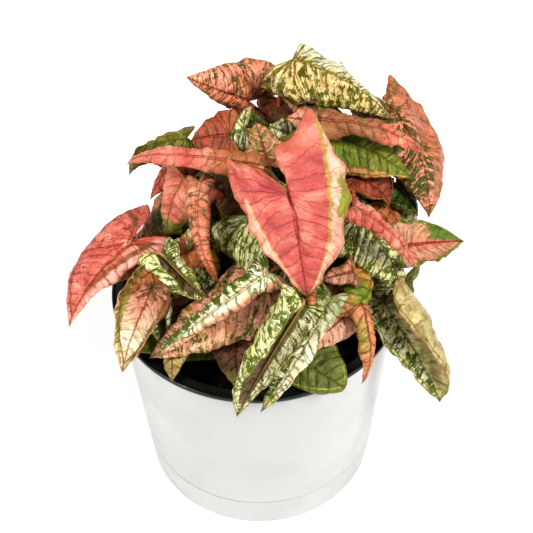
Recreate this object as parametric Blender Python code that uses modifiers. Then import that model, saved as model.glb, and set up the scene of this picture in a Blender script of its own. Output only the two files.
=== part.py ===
"""A potted syngonium whose arrow-shaped leaves have wilted, drooped and rolled up.

Metres, +Z up. The origin is the centre of the pot's underside and the plant's front faces -Y.
The leaf list alone is in millimetres, from the same origin, and MM turns it into metres.
"""

import math

import bmesh
import bpy
import numpy as np
from mathutils import Vector

MM = 0.001
GAP = 0.0003  # between pieces that touch on the real plant

# Pots
TURNED_STEPS = 40
LIP_RADIUS = 0.075  # a 15 cm nursery pot, measured over its lip
LIP_TOP = 0.130
LIP_THICKNESS = 0.0027
OUTER_TOP = LIP_TOP - LIP_THICKNESS - GAP
OUTER_TOP_RADIUS = 0.0723
OUTER_BASE_RADIUS = 0.0645
OUTER_WALL = 0.0022
OUTER_FLOOR = 0.003
SEAM_HEIGHT = 0.023  # seam that marks off the foot band
SEAM_DEPTH = 0.0005
NURSERY_CLEARANCE = 0.0010  # between the two pots' walls
NURSERY_WALL = 0.0012
NURSERY_BASE = 0.012  # the nursery pot hangs by its lip, with its floor this high
DRAIN_HOLES = 6
DRAIN_RADIUS = 0.0045
DRAIN_CIRCLE = 0.036

# Soil and stems
SOIL_TOP = 0.118
SOIL_EDGE_DROP = 0.0015  # the surface falls away a little toward the wall
STEM_RADIUS = 0.0035
STEM_ABOVE = 0.012
STEM_BELOW = 0.025
STEM_SIDES = 12
STEM_HOLE_RADIUS = STEM_RADIUS + GAP
PETIOLE_RADIUS = 0.0011
PETIOLE_START = 0.002  # height of a petiole's root above the soil, inside the stem
PETIOLE_OFF_AXIS = 1.8  # millimetres from the stem's axis, toward the leaf
PETIOLE_POINTS = 7
PETIOLE_SPREAD = 0.45  # outward lean of a petiole where it leaves the stem
PETIOLE_SINK = 1.5  # how far a petiole runs on under its blade, in millimetres
PETIOLE_UNDER = 0.4

# Leaves
BLADE = 0.8  # blade thickness in millimetres, thicker than life
TIGHTEST_ROLL = 2.0  # radius of the tightest rolled margin, in millimetres
FINE, PLAIN, COARSE = (8, 8), (6, 6), (4, 4)  # cells across and along a blade
MIDRIB_STEPS = 40
SECTION_STEPS = 24
ROW_CROWDING = 1.15  # rows of a blade's grid lie closer together toward its base

# A blade's shape. A pair is (left, right), seen from base to tip with the upper face up.
LEAF = {
    "width": 40,    # twice the half's flat width, in millimetres
    "lobe": 14,     # how far the ears reach back past the seat
    "ear": 0.78,    # where across the half the ear's point lies
    "close": 2.5,   # how narrow the notch between the ears is
    "point": 1.3,   # how sharp the ears are
    "splay": 2,     # how far the ears lean outward
    "fold": 0,      # degrees that a half is folded up at the midrib
    "curl": 60,     # degrees that a margin rolls, over the upper face where positive
    "edge": 1.4,    # how much of the roll lies near the margin
    "even": 0.7,    # 1 rolls by one radius from base to tip
    "loose": 0.3,   # how far the roll opens at the base
    "wave": 1.0,    # height of the margin's ripple
    "waves": 2.2,
    "bend": 30,     # degrees that the midrib arches, tip drooping where positive
    "late": 1.3,    # how much of the arch lies near the tip
    "sway": 0,      # degrees that the midrib bends sideways
    "cells": PLAIN,
}


def leaf(name, seat, tip, faces, **shape):
    """A blade from its seat on the petiole to its tip; faces is the upper side's (azimuth, elevation)."""
    return {**LEAF, "name": name, "seat": seat, "tip": tip, "faces": faces, **shape}


def inner(name, seat, tip, faces, width, **shape):
    """One of the plainer leaves deep in the plant."""
    return leaf(name, seat, tip, faces, width=width, **{"lobe": 8, "curl": -50, "cells": COARSE, **shape})


# Each leafy stem: where it stands in the soil (millimetres), and its leaves.
STEMS = {
    "back_left": ((-16, 26), [
        leaf("back_pink", (-2, 46, 212), (-32, 45, 228), (-5, 36), width=(22, 46), lobe=(22, 26),
             splay=(2, 4), fold=-6, curl=-90, bend=60, ear=0.8, edge=(1.2, 2.5), cells=FINE),
        leaf("red_slope", (-12, 18, 214), (-30, 20, 209), (-30, 50), width=30, lobe=6, bend=80, curl=-60),
        leaf("olive_roll", (-32, 24, 208), (-52, 22, 202), (-60, 60), width=24, lobe=5, curl=-100, bend=50),
        leaf("left_curl", (-51, 32, 188), (-63, 29, 180), (-80, 30), width=22, lobe=4, curl=130, bend=60,
             cells=COARSE),
        leaf("white_green_back", (-4, 22, 215), (-21, 22, 203), (-20, 60), width=26, lobe=6, curl=-90,
             bend=40, cells=COARSE),
        inner("rear_left", (-24, 44, 180), (-38, 66, 150), (-155, 45), 42, lobe=12, bend=50),
        inner("rear_middle", (-8, 54, 188), (-6, 72, 158), (180, 45), 36, lobe=10, bend=50),
    ]),
    "back_right": ((22, 28), [
        leaf("back_cream", (19, 45, 238), (66, 32, 211), (12, 58), width=(40, 42), lobe=(3, 12),
             splay=4, fold=(-55, -28), curl=-40, bend=80, cells=FINE),
        leaf("pale_roll", (17, 50, 228), (24, 33, 208), (10, 30), width=28, lobe=4, curl=-170, bend=35,
             cells=COARSE),
        leaf("back_tall", (68, 34, 208), (79, -2, 177), (38, 38), width=(82, 26), lobe=(20, 6),
             splay=(-14, 0), fold=-18, curl=(-60, -20), bend=30, sway=25, ear=0.7, cells=FINE),
        leaf("cross_roll", (31, 14, 226), (82, 9, 206), (10, 70), width=34, lobe=6, curl=-165, bend=75,
             even=1, cells=FINE),
        leaf("green_right", (33, 18, 216), (75, 3, 198), (15, 62), width=(34, 42), lobe=8,
             curl=(-50, -60), bend=45),
        leaf("hollow_leaf", (48, 3, 200), (65, 1, 182), (70, 30), width=(36, 26), lobe=6,
             curl=(150, 60), bend=60, cells=COARSE),
        inner("top_right", (39, 22, 200), (63, 6, 184), (40, 45), 40, bend=40),
        inner("rear_right", (34, 46, 178), (46, 66, 148), (150, 45), 42, lobe=12, bend=50),
    ]),
    "left": ((-32, 6), [
        leaf("far_left", (-60, -7, 171), (-92, -35, 139), (-35, 52), width=(18, 70), lobe=(17, 20),
             splay=(16, -9), fold=-6, curl=(-80, -50), bend=62, edge=2.2, ear=0.8, cells=FINE),
        leaf("brown_under", (-48, 7, 155), (-72, -11, 143), (-50, 45), width=36, lobe=8, curl=-50,
             bend=40, cells=COARSE),
        leaf("broad_bulge", (-33, 5, 200), (-42, -5, 172), (-40, 45), width=40, lobe=6, splay=0,
             curl=-150, bend=60),
        leaf("pink_narrow", (-37, 25, 195), (-52, 15, 176), (-60, 30), width=22, lobe=4, curl=-140,
             bend=40, cells=COARSE),
        inner("rear_far_left", (-42, 31, 153), (-55, 46, 132), (-135, 45), 34, bend=45),
    ]),
    "front_left": ((-26, -22), [
        leaf("left_cream", (-49, -34, 165), (-65, -59, 133), (-35, 45), width=(38, 36), lobe=(12, 10),
             splay=-3, curl=90, edge=4, ear=0.7, even=0.3, cells=FINE),
        leaf("left_fold", (-40, -10, 157), (-45, -53, 140), (150, -40), width=(40, 30), lobe=4,
             curl=-190, edge=1.2, bend=-30),
        leaf("cream_margin", (-44, -25, 179), (-22, -42, 165), (160, -40), width=(44, 14), lobe=3,
             curl=(-200, -20), edge=1, bend=-30, loose=0),
        leaf("cream_roll", (-28, -6, 177), (-20, -36, 153), (-20, 40), width=34, lobe=6, splay=-1,
             curl=-160, bend=40, loose=0.1),
        leaf("low_green", (-33, -28, 136), (-63, -47, 134), (-40, 60), width=50, lobe=8, curl=-30,
             bend=35),
        leaf("small_beige", (-40, -48, 142), (-41, -65, 132), (-30, 40), width=20, lobe=3, bend=20,
             curl=-60, cells=COARSE),
        leaf("white_ear", (-31, -24, 179), (-46, -21, 174), (-20, 50), width=22, lobe=4, curl=-80,
             cells=COARSE),
    ]),
    "centre": ((-2, 4), [
        leaf("heart", (17, -27, 218), (23, -55, 180), (-4, 44), width=(56, 50), lobe=(37, 22),
             splay=(1, 10), fold=4, curl=(60, 30), bend=50, late=2.6, ear=0.82, close=5, edge=4,
             even=0.2, cells=FINE),
        leaf("long_roll", (5, -14, 222), (-62, 20, 195), (0, 60), width=24, lobe=5, curl=-165,
             bend=75, late=1.6, even=0.8, loose=0, cells=FINE),
        leaf("pale_point", (7, 5, 206), (1, 16, 224), (0, 30), width=28, lobe=4, curl=-60, bend=10),
        leaf("orange_roll", (-25, -11, 212), (-17, -37, 170), (-20, 40), width=32, lobe=6, curl=-160,
             bend=50, sway=-30),
        leaf("under_heart", (-2, -13, 191), (21, -52, 177), (-10, 42), width=50, lobe=10,
             curl=(-60, -50)),
        leaf("white_diagonal", (6, -48, 190), (-48, -57, 142), (-20, 45), width=28, lobe=5, curl=-170,
             bend=35, loose=0, cells=FINE),
    ]),
    "front": ((-2, -28), [
        leaf("pink_low", (6, -40, 170), (-52, -55, 138), (-20, 45), width=50, lobe=8, curl=-90, bend=35),
        leaf("brown_front", (-10, -39, 149), (-9, -71, 132), (-10, 40), width=46, lobe=6, curl=-70,
             bend=40),
        leaf("front_fold", (21, -58, 178), (-10, -84, 130), (165, -45), width=(64, 20), lobe=4,
             curl=(-200, -30), edge=1, bend=-40, loose=0, cells=FINE),
        leaf("front_white", (34, -51, 176), (1, -81, 129), (20, 40), width=32, lobe=5, splay=0,
             curl=-150, bend=35, loose=0.1, cells=FINE),
    ]),
    "front_right": ((22, -18), [
        leaf("pink_sweep", (47, -40, 156), (20, -61, 148), (10, 50), width=36, lobe=6,
             curl=(-150, -40)),
        leaf("rim_leaf", (12, -54, 141), (41, -71, 133), (-10, 60), width=(52, 30), lobe=6, curl=-20,
             bend=15),
        leaf("orange_hang", (49, -45, 163), (49, -69, 134), (40, 30), width=26, lobe=6, splay=0,
             curl=-120, bend=75),
        leaf("horn", (53, -27, 166), (37, -38, 156), (80, 25), width=36, lobe=5, curl=-165, bend=130,
             late=1, even=0.5),
        leaf("pink_stub", (45, -39, 180), (30, -41, 176), (20, 60), width=24, lobe=2, curl=-165,
             bend=20, cells=COARSE),
        inner("right_low", (38, -17, 163), (48, -31, 147), (30, 50), 34, lobe=9),
    ]),
    "right": ((36, 6), [
        leaf("droop_roll", (44, -26, 209), (74, -33, 174), (50, 50), width=26, lobe=5, curl=-150,
             bend=65, even=1),
        leaf("orange_slip", (64, 5, 180), (73, -11, 166), (60, 30), width=20, lobe=4, curl=-140,
             cells=COARSE),
        leaf("peach", (47, 0, 178), (46, -23, 166), (30, 35), width=30, lobe=5, bend=20,
             cells=COARSE),
        leaf("pale_slip", (78, 13, 171), (76, -4, 161), (60, 20), width=26, lobe=4, curl=-60, bend=15,
             cells=COARSE),
        leaf("far_right", (71, -18, 174), (104, 0, 158), (30, 60), width=(34, 42), lobe=12, fold=15,
             curl=(40, 50), bend=20),
        leaf("cream_green", (48, -15, 190), (69, -33, 154), (40, 40), width=(40, 46), lobe=10,
             splay=-1, curl=(-90, -60), bend=50, sway=20),
        leaf("pale_crinkle", (63, -2, 172), (68, -3, 147), (60, 30), width=26, lobe=6, curl=-80,
             bend=20, cells=COARSE),
        leaf("rim_dark", (71, -6, 146), (73, -19, 134), (80, 30), width=20, lobe=4, curl=-40, bend=20,
             cells=COARSE),
        inner("rear_far_right", (56, 24, 150), (68, 32, 131), (115, 45), 32, bend=45),
        leaf("lower_right", (62, -30, 147), (91, -56, 100), (15, 52), width=(74, 30), lobe=(6, 8),
             splay=-1, curl=(185, 15), edge=1, bend=45, loose=0, even=0.9, cells=FINE),
    ]),
}

# Main colour of each leafy stem, linear RGB
PINK = (0.84, 0.24, 0.17)
CREAM = (0.80, 0.72, 0.48)
GREEN = (0.12, 0.24, 0.03)
STEM_COLOURS = {
    "back_left": PINK, "back_right": CREAM, "left": PINK, "front_left": CREAM, "centre": PINK,
    "front": CREAM, "front_right": PINK, "right": GREEN,
}


def clear_scene():
    for obj in list(bpy.data.objects):
        bpy.data.objects.remove(obj)


def new_collection(name, parent=None):
    made = bpy.data.collections.new(name)
    (parent or bpy.context.scene.collection).children.link(made)
    return made


def material(name, colour, roughness, metallic=0.0):
    made = bpy.data.materials.new(name)
    made.use_nodes = True
    shader = made.node_tree.nodes["Principled BSDF"]
    shader.inputs["Base Color"].default_value = (*colour, 1)
    shader.inputs["Roughness"].default_value = roughness
    shader.inputs["Metallic"].default_value = metallic
    return made


def mesh_object(name, points, faces, collection):
    mesh = bpy.data.meshes.new(name)
    mesh.from_pydata([tuple(map(float, point)) for point in points], [], faces)
    made = bpy.data.objects.new(name, mesh)
    collection.objects.link(made)
    return made


def turned(name, profile, collection):
    """A profile of (radius, height) that runs top to bottom on its outer side, turned round the Z axis."""
    edges = [(i, i + 1) for i in range(len(profile) - 1)]
    mesh = bpy.data.meshes.new(name)
    mesh.from_pydata([(radius, 0, height) for radius, height in profile], edges, [])
    made = bpy.data.objects.new(name, mesh)
    collection.objects.link(made)
    screw = made.modifiers.new("turn", "SCREW")
    screw.steps = screw.render_steps = TURNED_STEPS
    screw.use_merge_vertices = True
    screw.merge_threshold = 1e-5
    screw.use_smooth_shade = True
    return made


def cylinder(name, radius, depth, sides, centre, collection):
    """An upright cylinder about its centre point."""
    shape = bmesh.new()
    bmesh.ops.create_cone(shape, cap_ends=True, segments=sides, radius1=radius, radius2=radius, depth=depth)
    mesh = bpy.data.meshes.new(name)
    shape.to_mesh(mesh)
    shape.free()
    made = bpy.data.objects.new(name, mesh)
    made.location = centre
    collection.objects.link(made)
    return made


def as_cutter(obj):
    obj.hide_render = True
    obj.display_type = "WIRE"
    return obj


def cut(obj, cutters):
    hole = obj.modifiers.new("holes", "BOOLEAN")
    hole.operation = "DIFFERENCE"
    hole.operand_type = "COLLECTION"
    hole.collection = cutters
    hole.solver = "EXACT"


def quarter_arc(centre, radius, start, stop, steps=3):
    """Points of an arc in (radius, height), angles in degrees."""
    angles = np.radians(np.linspace(start, stop, steps + 1))
    return [(centre[0] + radius * math.cos(a), centre[1] + radius * math.sin(a)) for a in angles]


def outer_radius(height):
    """Radius of the white pot's outside at a height."""
    return OUTER_BASE_RADIUS + (OUTER_TOP_RADIUS - OUTER_BASE_RADIUS) * height / OUTER_TOP


def outer_pot(collection):
    foot, seam = 0.0015, SEAM_DEPTH
    rim = OUTER_WALL / 2
    profile = [(0, OUTER_FLOOR), (outer_radius(OUTER_FLOOR) - OUTER_WALL, OUTER_FLOOR)]
    profile += quarter_arc((OUTER_TOP_RADIUS - rim, OUTER_TOP - rim), rim, 180, 0, 4)
    profile += [
        (outer_radius(SEAM_HEIGHT + seam), SEAM_HEIGHT + seam),
        (outer_radius(SEAM_HEIGHT) - seam, SEAM_HEIGHT),
        (outer_radius(SEAM_HEIGHT - seam), SEAM_HEIGHT - seam),
    ]
    profile += quarter_arc((OUTER_BASE_RADIUS - foot, foot), foot, 0, -90, 2)
    profile += [(0, 0)]
    made = turned("outer_pot", profile, collection)
    made.data.materials.append(material("white_satin_plastic", (0.87, 0.87, 0.85), 0.35))


def nursery_wall(height):
    """Outer radius of the nursery pot at a height."""
    return outer_radius(height) - OUTER_WALL - NURSERY_CLEARANCE


def nursery_pot(collection, cutters):
    """A thin pot that hangs by its rolled lip on the white pot's rim."""
    base, floor = NURSERY_BASE, NURSERY_BASE + NURSERY_WALL
    neck = OUTER_TOP + GAP
    edge = LIP_THICKNESS / 2
    inside = nursery_wall(neck) - NURSERY_WALL
    profile = [(0, floor), (nursery_wall(floor) - NURSERY_WALL, floor), (inside, neck)]
    profile += [(inside, LIP_TOP - edge / 2), (inside + edge / 2, LIP_TOP)]
    profile += quarter_arc((LIP_RADIUS - edge, LIP_TOP - edge), edge, 90, -90, 4)
    profile += [(nursery_wall(neck), neck), (nursery_wall(base), base), (0, base)]
    made = turned("nursery_pot", profile, collection)
    made.data.materials.append(material("dark_green_plastic", (0.026, 0.042, 0.034), 0.45))
    for index in range(DRAIN_HOLES):
        angle = 2 * math.pi * index / DRAIN_HOLES
        centre = (DRAIN_CIRCLE * math.cos(angle), DRAIN_CIRCLE * math.sin(angle), base)
        as_cutter(cylinder(f"drain_{index}", DRAIN_RADIUS, 6 * NURSERY_WALL, 12, centre, cutters))
    cut(made, cutters)


def soil(collection, cutters):
    """The soil fills the nursery pot, and each stem stands in a plain hole in it."""
    bottom = NURSERY_BASE + NURSERY_WALL + GAP
    edge = SOIL_TOP - SOIL_EDGE_DROP
    wall = NURSERY_WALL + GAP
    profile = [(0, SOIL_TOP), (0.045, SOIL_TOP - SOIL_EDGE_DROP / 3), (nursery_wall(edge) - wall, edge)]
    profile += [(nursery_wall(bottom) - wall, bottom), (0, bottom)]
    made = turned("soil", profile, collection)
    made.data.materials.append(material("potting_soil", (0.012, 0.008, 0.006), 0.95))
    depth = STEM_BELOW + GAP
    for name, (root, _) in STEMS.items():
        centre = (root[0] * MM, root[1] * MM, SOIL_TOP)
        as_cutter(cylinder(f"hole_{name}", STEM_HOLE_RADIUS, 2 * depth, STEM_SIDES, centre, cutters))
    cut(made, cutters)


def unit(vector):
    vector = np.asarray(vector, float)
    return vector / np.linalg.norm(vector)


def compass(azimuth, elevation):
    """Unit vector; azimuth 0 is the front and 90 the right-hand side."""
    a, e = np.radians((azimuth, elevation))
    return np.array((np.sin(a) * np.cos(e), -np.cos(a) * np.cos(e), np.sin(e)))


def turn(axis, angle):
    """Rotation matrix about a unit axis."""
    x, y, z = axis
    skew = np.array(((0, -z, y), (z, 0, -x), (-y, x, 0)))
    return np.eye(3) + np.sin(angle) * skew + (1 - np.cos(angle)) * (skew @ skew)


def midrib(shape):
    """Points and frames along a blade's midrib, and its length. A frame's columns are side, along and up."""
    steps = np.linspace(0, 1, MIDRIB_STEPS + 1)
    arch = np.diff(steps ** shape["late"]) * np.radians(-shape["bend"])
    even = np.diff(steps)
    frame, point = np.eye(3), np.zeros(3)
    points, frames = [point], [frame]
    for bend, share in zip(arch, even):
        onward = turn(frame[:, 0], bend) @ turn(frame[:, 2], np.radians(-shape["sway"]) * share) @ frame
        point = point + (frame[:, 1] + onward[:, 1]) * share / 2
        frame = onward
        points.append(point)
        frames.append(frame)
    points, frames = np.array(points), np.array(frames)
    # The arch is turned and scaled so that it runs from seat to tip with its upper side out.
    seat, tip = np.array(shape["seat"], float), np.array(shape["tip"], float)
    span = unit(points[-1])
    up = frames[int(0.4 * MIDRIB_STEPS)][:, 2]
    up = unit(up - span * (up @ span))
    chord = unit(tip - seat)
    outward = compass(*shape["faces"])
    outward = unit(outward - chord * (outward @ chord))
    placed = np.stack((chord, outward, np.cross(chord, outward)), 1)
    place = placed @ np.stack((span, up, np.cross(span, up)), 1).T
    length = np.linalg.norm(tip - seat) / np.linalg.norm(points[-1])
    return seat + (points @ place.T) * length, place @ frames, length


def taper(along):
    """Half width of the outline at a place along the blade, as a share of the widest."""
    return (1 - along ** 1.6) ** 1.25 * (0.9 + 0.45 * along)


def blade_grid(shape, across, along):
    """Points of a blade's middle surface, for places across (-1 to 1) and along (0 to 1)."""
    ribs, frames, length = midrib(shape)
    u, t = np.meshgrid(across, along)
    side = np.abs(u)

    def half_value(name):
        left, right = np.broadcast_to(shape[name], 2)
        return np.where(u > 0, right, left)

    half = half_value("width") / 2 * taper(t)
    inside = 1 - (1 - np.minimum(side, shape["ear"]) / shape["ear"]) ** shape["close"]
    beyond = 1 - (np.maximum(side - shape["ear"], 0) / (1 - shape["ear"])) ** shape["point"]
    ears = inside * beyond * (1 - t) ** 2.5
    spread = half_value("splay") * inside * (0.75 + 0.25 * beyond) * (1 - t) ** 2.5
    back = length * t - half_value("lobe") * ears
    fold, curl, edge = np.radians(half_value("fold")), np.radians(half_value("curl")), half_value("edge")
    curl = curl * (taper(t) / 0.93) ** shape["even"] * (1 - shape["loose"] * (1 - t) ** 4)
    curl = np.sign(curl) * np.minimum(np.abs(curl), np.maximum(half, 0.01) / TIGHTEST_ROLL)
    out, up = np.zeros_like(side), np.zeros_like(side)
    for step in range(SECTION_STEPS):
        angle = fold + curl * (side * (step + 0.5) / SECTION_STEPS) ** edge
        out += np.cos(angle) * side / SECTION_STEPS
        up += np.sin(angle) * side / SECTION_STEPS
    angle = fold + curl * side ** edge
    phase = np.where(u > 0, 0.0, 1.9)
    ripple = shape["wave"] * side ** 2 * np.sin(2 * np.pi * shape["waves"] * t + phase) * (1 - t)
    out = (out * half + spread - np.sin(angle) * ripple) * np.sign(u)
    up = up * half + np.cos(angle) * ripple
    place = np.clip(back / length, 0, 1) * MIDRIB_STEPS
    low = np.minimum(place.astype(int), MIDRIB_STEPS - 1)
    share = (place - low)[..., None]
    rib = ribs[low] * (1 - share) + ribs[low + 1] * share
    frame = frames[low] * (1 - share[..., None]) + frames[low + 1] * share[..., None]
    rib = rib + frame[..., 1] * np.minimum(back, 0)[..., None]
    return rib + frame[..., 0] * out[..., None] + frame[..., 2] * up[..., None]


def grid_faces(rows, columns):
    """Triangles of a grid whose last row is one point, with diagonals that mirror about the midrib."""
    faces = []
    for row in range(rows - 1):
        for column in range(columns - 1):
            a = row * columns + column
            b, c, d = a + 1, a + 1 + columns, a + columns
            if row == rows - 2:
                faces.append((a, b, (rows - 1) * columns))
            elif column < (columns - 1) / 2:
                faces += [(a, b, c), (a, c, d)]
            else:
                faces += [(a, b, d), (b, c, d)]
    return faces


def blade(shape, collection):
    """A closed blade: both faces carry the same triangles, and a rim joins them."""
    columns, rows = shape["cells"][0] + 1, shape["cells"][1] + 1
    along = np.linspace(0, 1, rows) ** ROW_CROWDING
    grid = blade_grid(shape, np.linspace(-1, 1, columns), along)
    count = (rows - 1) * columns + 1
    points = grid.reshape(-1, 3)[:count]
    faces = np.array(grid_faces(rows, columns))
    corners = points[faces]
    slopes = np.cross(corners[:, 1] - corners[:, 0], corners[:, 2] - corners[:, 0])
    normals = np.zeros_like(points)
    for corner in range(3):
        np.add.at(normals, faces[:, corner], slopes)
    normals /= np.linalg.norm(normals, axis=1, keepdims=True)
    rim = list(range(columns))
    rim += [row * columns + columns - 1 for row in range(1, rows - 1)] + [count - 1]
    rim += [row * columns for row in range(rows - 2, 0, -1)]
    sides = []
    for a, b in zip(rim, rim[1:] + rim[:1]):
        sides += [(a, a + count, b), (b, a + count, b + count)]
    both = np.vstack([points + normals * BLADE / 2, points - normals * BLADE / 2]) * MM
    every = faces.tolist() + (faces[:, ::-1] + count).tolist() + sides
    return mesh_object(shape["name"], both, every, collection)


def petiole_path(shape, root):
    """Points, in millimetres, from inside the stem up to the underside of the blade."""
    ribs, frames, _ = midrib(shape)
    along, up = frames[0][:, 1], frames[0][:, 2]
    end = ribs[0] + along * PETIOLE_SINK - up * PETIOLE_UNDER
    outward = unit((shape["seat"][0] - root[0], shape["seat"][1] - root[1]))
    start = np.array((*(root + outward * PETIOLE_OFF_AXIS), (SOIL_TOP + PETIOLE_START) / MM))
    reach = np.linalg.norm(end - start)
    leaving = unit((*(outward * PETIOLE_SPREAD), 1)) * reach * 0.9
    arriving = unit(along + up * 0.6) * reach * 0.7
    s = np.linspace(0, 1, PETIOLE_POINTS)[:, None]
    path = (2 * s**3 - 3 * s**2 + 1) * start + (s**3 - 2 * s**2 + s) * leaving
    return path + (3 * s**2 - 2 * s**3) * end + (s**3 - s**2) * arriving


def petiole(shape, root, collection):
    """A square-sided stalk as a closed mesh."""
    curve = bpy.data.curves.new(shape["name"] + "_petiole", "CURVE")
    curve.dimensions = "3D"
    curve.bevel_depth = PETIOLE_RADIUS
    curve.bevel_resolution = 0
    curve.use_fill_caps = True
    path = petiole_path(shape, root) * MM
    spline = curve.splines.new("POLY")
    spline.points.add(len(path) - 1)
    for point, place in zip(spline.points, path):
        point.co = (*place, 1)
    guide = bpy.data.objects.new(curve.name, curve)
    collection.objects.link(guide)
    graph = bpy.context.evaluated_depsgraph_get()
    mesh = bpy.data.meshes.new_from_object(guide.evaluated_get(graph))
    made = bpy.data.objects.new(curve.name, mesh)
    made.matrix_world = guide.matrix_world
    bpy.data.objects.remove(guide)
    collection.objects.link(made)
    shape_mesh = bmesh.new()
    shape_mesh.from_mesh(mesh)
    bmesh.ops.remove_doubles(shape_mesh, verts=shape_mesh.verts, dist=1e-6)
    bmesh.ops.triangulate(shape_mesh, faces=shape_mesh.faces)
    bmesh.ops.recalc_face_normals(shape_mesh, faces=shape_mesh.faces)
    shape_mesh.to_mesh(mesh)
    shape_mesh.free()
    return made


def keep_largest_body(mesh):
    """Removes loose scraps, and fills sealed hollows by removing their walls."""
    shape = bmesh.new()
    shape.from_mesh(mesh)
    left = set(shape.verts)
    bodies = []
    while left:
        body, edge = set(), [left.pop()]
        while edge:
            vertex = edge.pop()
            body.add(vertex)
            near = {e.other_vert(vertex) for e in vertex.link_edges} & left
            left -= near
            edge += near
        bodies.append(body)
    bodies.sort(key=len)
    for body in bodies[:-1]:
        bmesh.ops.delete(shape, geom=list(body), context="VERTS")
    shape.to_mesh(mesh)
    shape.free()


def leafy_stem(name, root, leaves, collection):
    """A stem stub with its petioles and blades fused into one body."""
    height = STEM_BELOW + STEM_ABOVE
    centre = Vector((root[0] * MM, root[1] * MM, SOIL_TOP - STEM_BELOW + height / 2))
    node = cylinder(f"leafy_stem_{name}", STEM_RADIUS, height, STEM_SIDES, centre, collection)
    pieces = new_collection(f"pieces_{name}")
    for shape in leaves:
        blade(shape, pieces)
        petiole(shape, root, pieces)
    fuse = node.modifiers.new("fuse", "BOOLEAN")
    fuse.operation = "UNION"
    fuse.operand_type = "COLLECTION"
    fuse.collection = pieces
    fuse.solver = "EXACT"
    bpy.context.view_layer.update()
    graph = bpy.context.evaluated_depsgraph_get()
    fused = bpy.data.meshes.new_from_object(node.evaluated_get(graph))
    node.modifiers.remove(fuse)
    node.data = fused
    for piece in list(pieces.objects):
        bpy.data.objects.remove(piece)
    bpy.data.collections.remove(pieces)
    keep_largest_body(node.data)
    node.data.materials.clear()
    node.data.materials.append(material(f"leaves_{name}", STEM_COLOURS[name], 0.5))


def build():
    clear_scene()
    plant = new_collection("potted_syngonium")
    drain_cutters = new_collection("drain_cutters")
    stem_cutters = new_collection("stem_cutters")
    outer_pot(plant)
    nursery_pot(plant, drain_cutters)
    soil(plant, stem_cutters)
    for name, (root, leaves) in STEMS.items():
        leafy_stem(name, root, leaves, plant)


build()
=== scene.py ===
# %% [markdown]
# # A wilted potted syngonium
# The plant is an arrowhead vine that has gone short of water: its thin, arrow-shaped leaves have
# drooped, rolled their margins under and wrinkled like crepe. It stands in a dark nursery pot of
# peat soil, which hangs by its lip in a tapered white pot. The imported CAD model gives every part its
# place. Each part is replaced here by a finer piece that keeps the CAD form, and the leaves get the
# veins, blotches and dry edges that make them look alive. Loading the frame comes first, because
# everything after it is measured from its nodes.

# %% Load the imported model
import math

import bpy
import numpy as np
from mathutils import Matrix, Vector


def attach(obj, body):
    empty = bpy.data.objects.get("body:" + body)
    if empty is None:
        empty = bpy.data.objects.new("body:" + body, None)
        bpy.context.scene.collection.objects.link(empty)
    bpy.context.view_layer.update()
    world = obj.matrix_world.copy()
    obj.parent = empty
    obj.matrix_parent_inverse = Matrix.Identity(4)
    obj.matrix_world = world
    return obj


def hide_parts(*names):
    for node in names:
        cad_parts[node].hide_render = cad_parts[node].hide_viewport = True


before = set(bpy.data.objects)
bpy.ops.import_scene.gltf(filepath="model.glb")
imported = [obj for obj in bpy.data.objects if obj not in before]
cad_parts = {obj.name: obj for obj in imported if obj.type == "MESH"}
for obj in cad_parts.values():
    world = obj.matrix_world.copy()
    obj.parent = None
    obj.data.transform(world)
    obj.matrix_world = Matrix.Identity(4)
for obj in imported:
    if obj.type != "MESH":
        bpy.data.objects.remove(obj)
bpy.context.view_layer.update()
print("CAD nodes:", sorted(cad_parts))
MM = 0.001

# %% [markdown]
# ## Camera, floor and light
# The plant is seen from the front and from well above, about 47 degrees up, through a lens long
# enough to keep the pot's sides almost parallel. A camera can be aimed with a constraint, but a
# matrix that looks along a line needs nothing live in the file. It is turned by one degree, because
# the pot's axis leans by that much in the picture.

# %% Camera
EYE = Vector((0.005, -0.3819, 0.5516))
AIM = Vector((0.005, 0.0, 0.142))
LENS = 74.3
LEAN = math.radians(-1.0)


def aim_matrix(eye, aim, lean=0.0):
    """A transform at eye whose -Z looks at aim."""
    turned = (aim - eye).to_track_quat("-Z", "Y").to_matrix().to_4x4()
    return Matrix.Translation(eye) @ turned @ Matrix.Rotation(lean, 4, "Z")


bpy.ops.object.camera_add()
camera = bpy.context.object
camera.name = "front_camera"
camera.data.lens = LENS
camera.matrix_world = aim_matrix(EYE, AIM, LEAN)
bpy.context.scene.camera = camera
bpy.context.scene.view_settings.view_transform = "Standard"
bpy.context.scene.view_settings.look = "High Contrast"
print("camera at", [round(x, 3) for x in EYE])

# %% [markdown]
# A pale floor and a white world give the clean surroundings of a shop picture. One soft lamp from
# the upper right models the rolls of the leaves, and a weaker one on the left opens the shade. A
# sun would draw hard shadows on the pot, and the photo's light has none.

# %% Floor, world and lamps
bpy.ops.mesh.primitive_plane_add(size=6.0, location=(0, 0, 0))
floor = bpy.context.object
floor.name = "floor"


def new_material(name):
    """A material, its node tree and its shader."""
    made = bpy.data.materials.new(name)
    made.use_nodes = True
    return made, made.node_tree, made.node_tree.nodes["Principled BSDF"]


floor_paint, _, floor_shader = new_material("pale_floor")
floor_shader.inputs["Base Color"].default_value = (0.96, 0.96, 0.955, 1)
floor_shader.inputs["Roughness"].default_value = 0.9
floor.data.materials.append(floor_paint)

world = bpy.data.worlds.new("white_room")
bpy.context.scene.world = world
world.use_nodes = True
sky = world.node_tree.nodes["Background"]
sky.inputs["Color"].default_value = (1, 1, 1, 1)
sky.inputs["Strength"].default_value = 0.42


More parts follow.
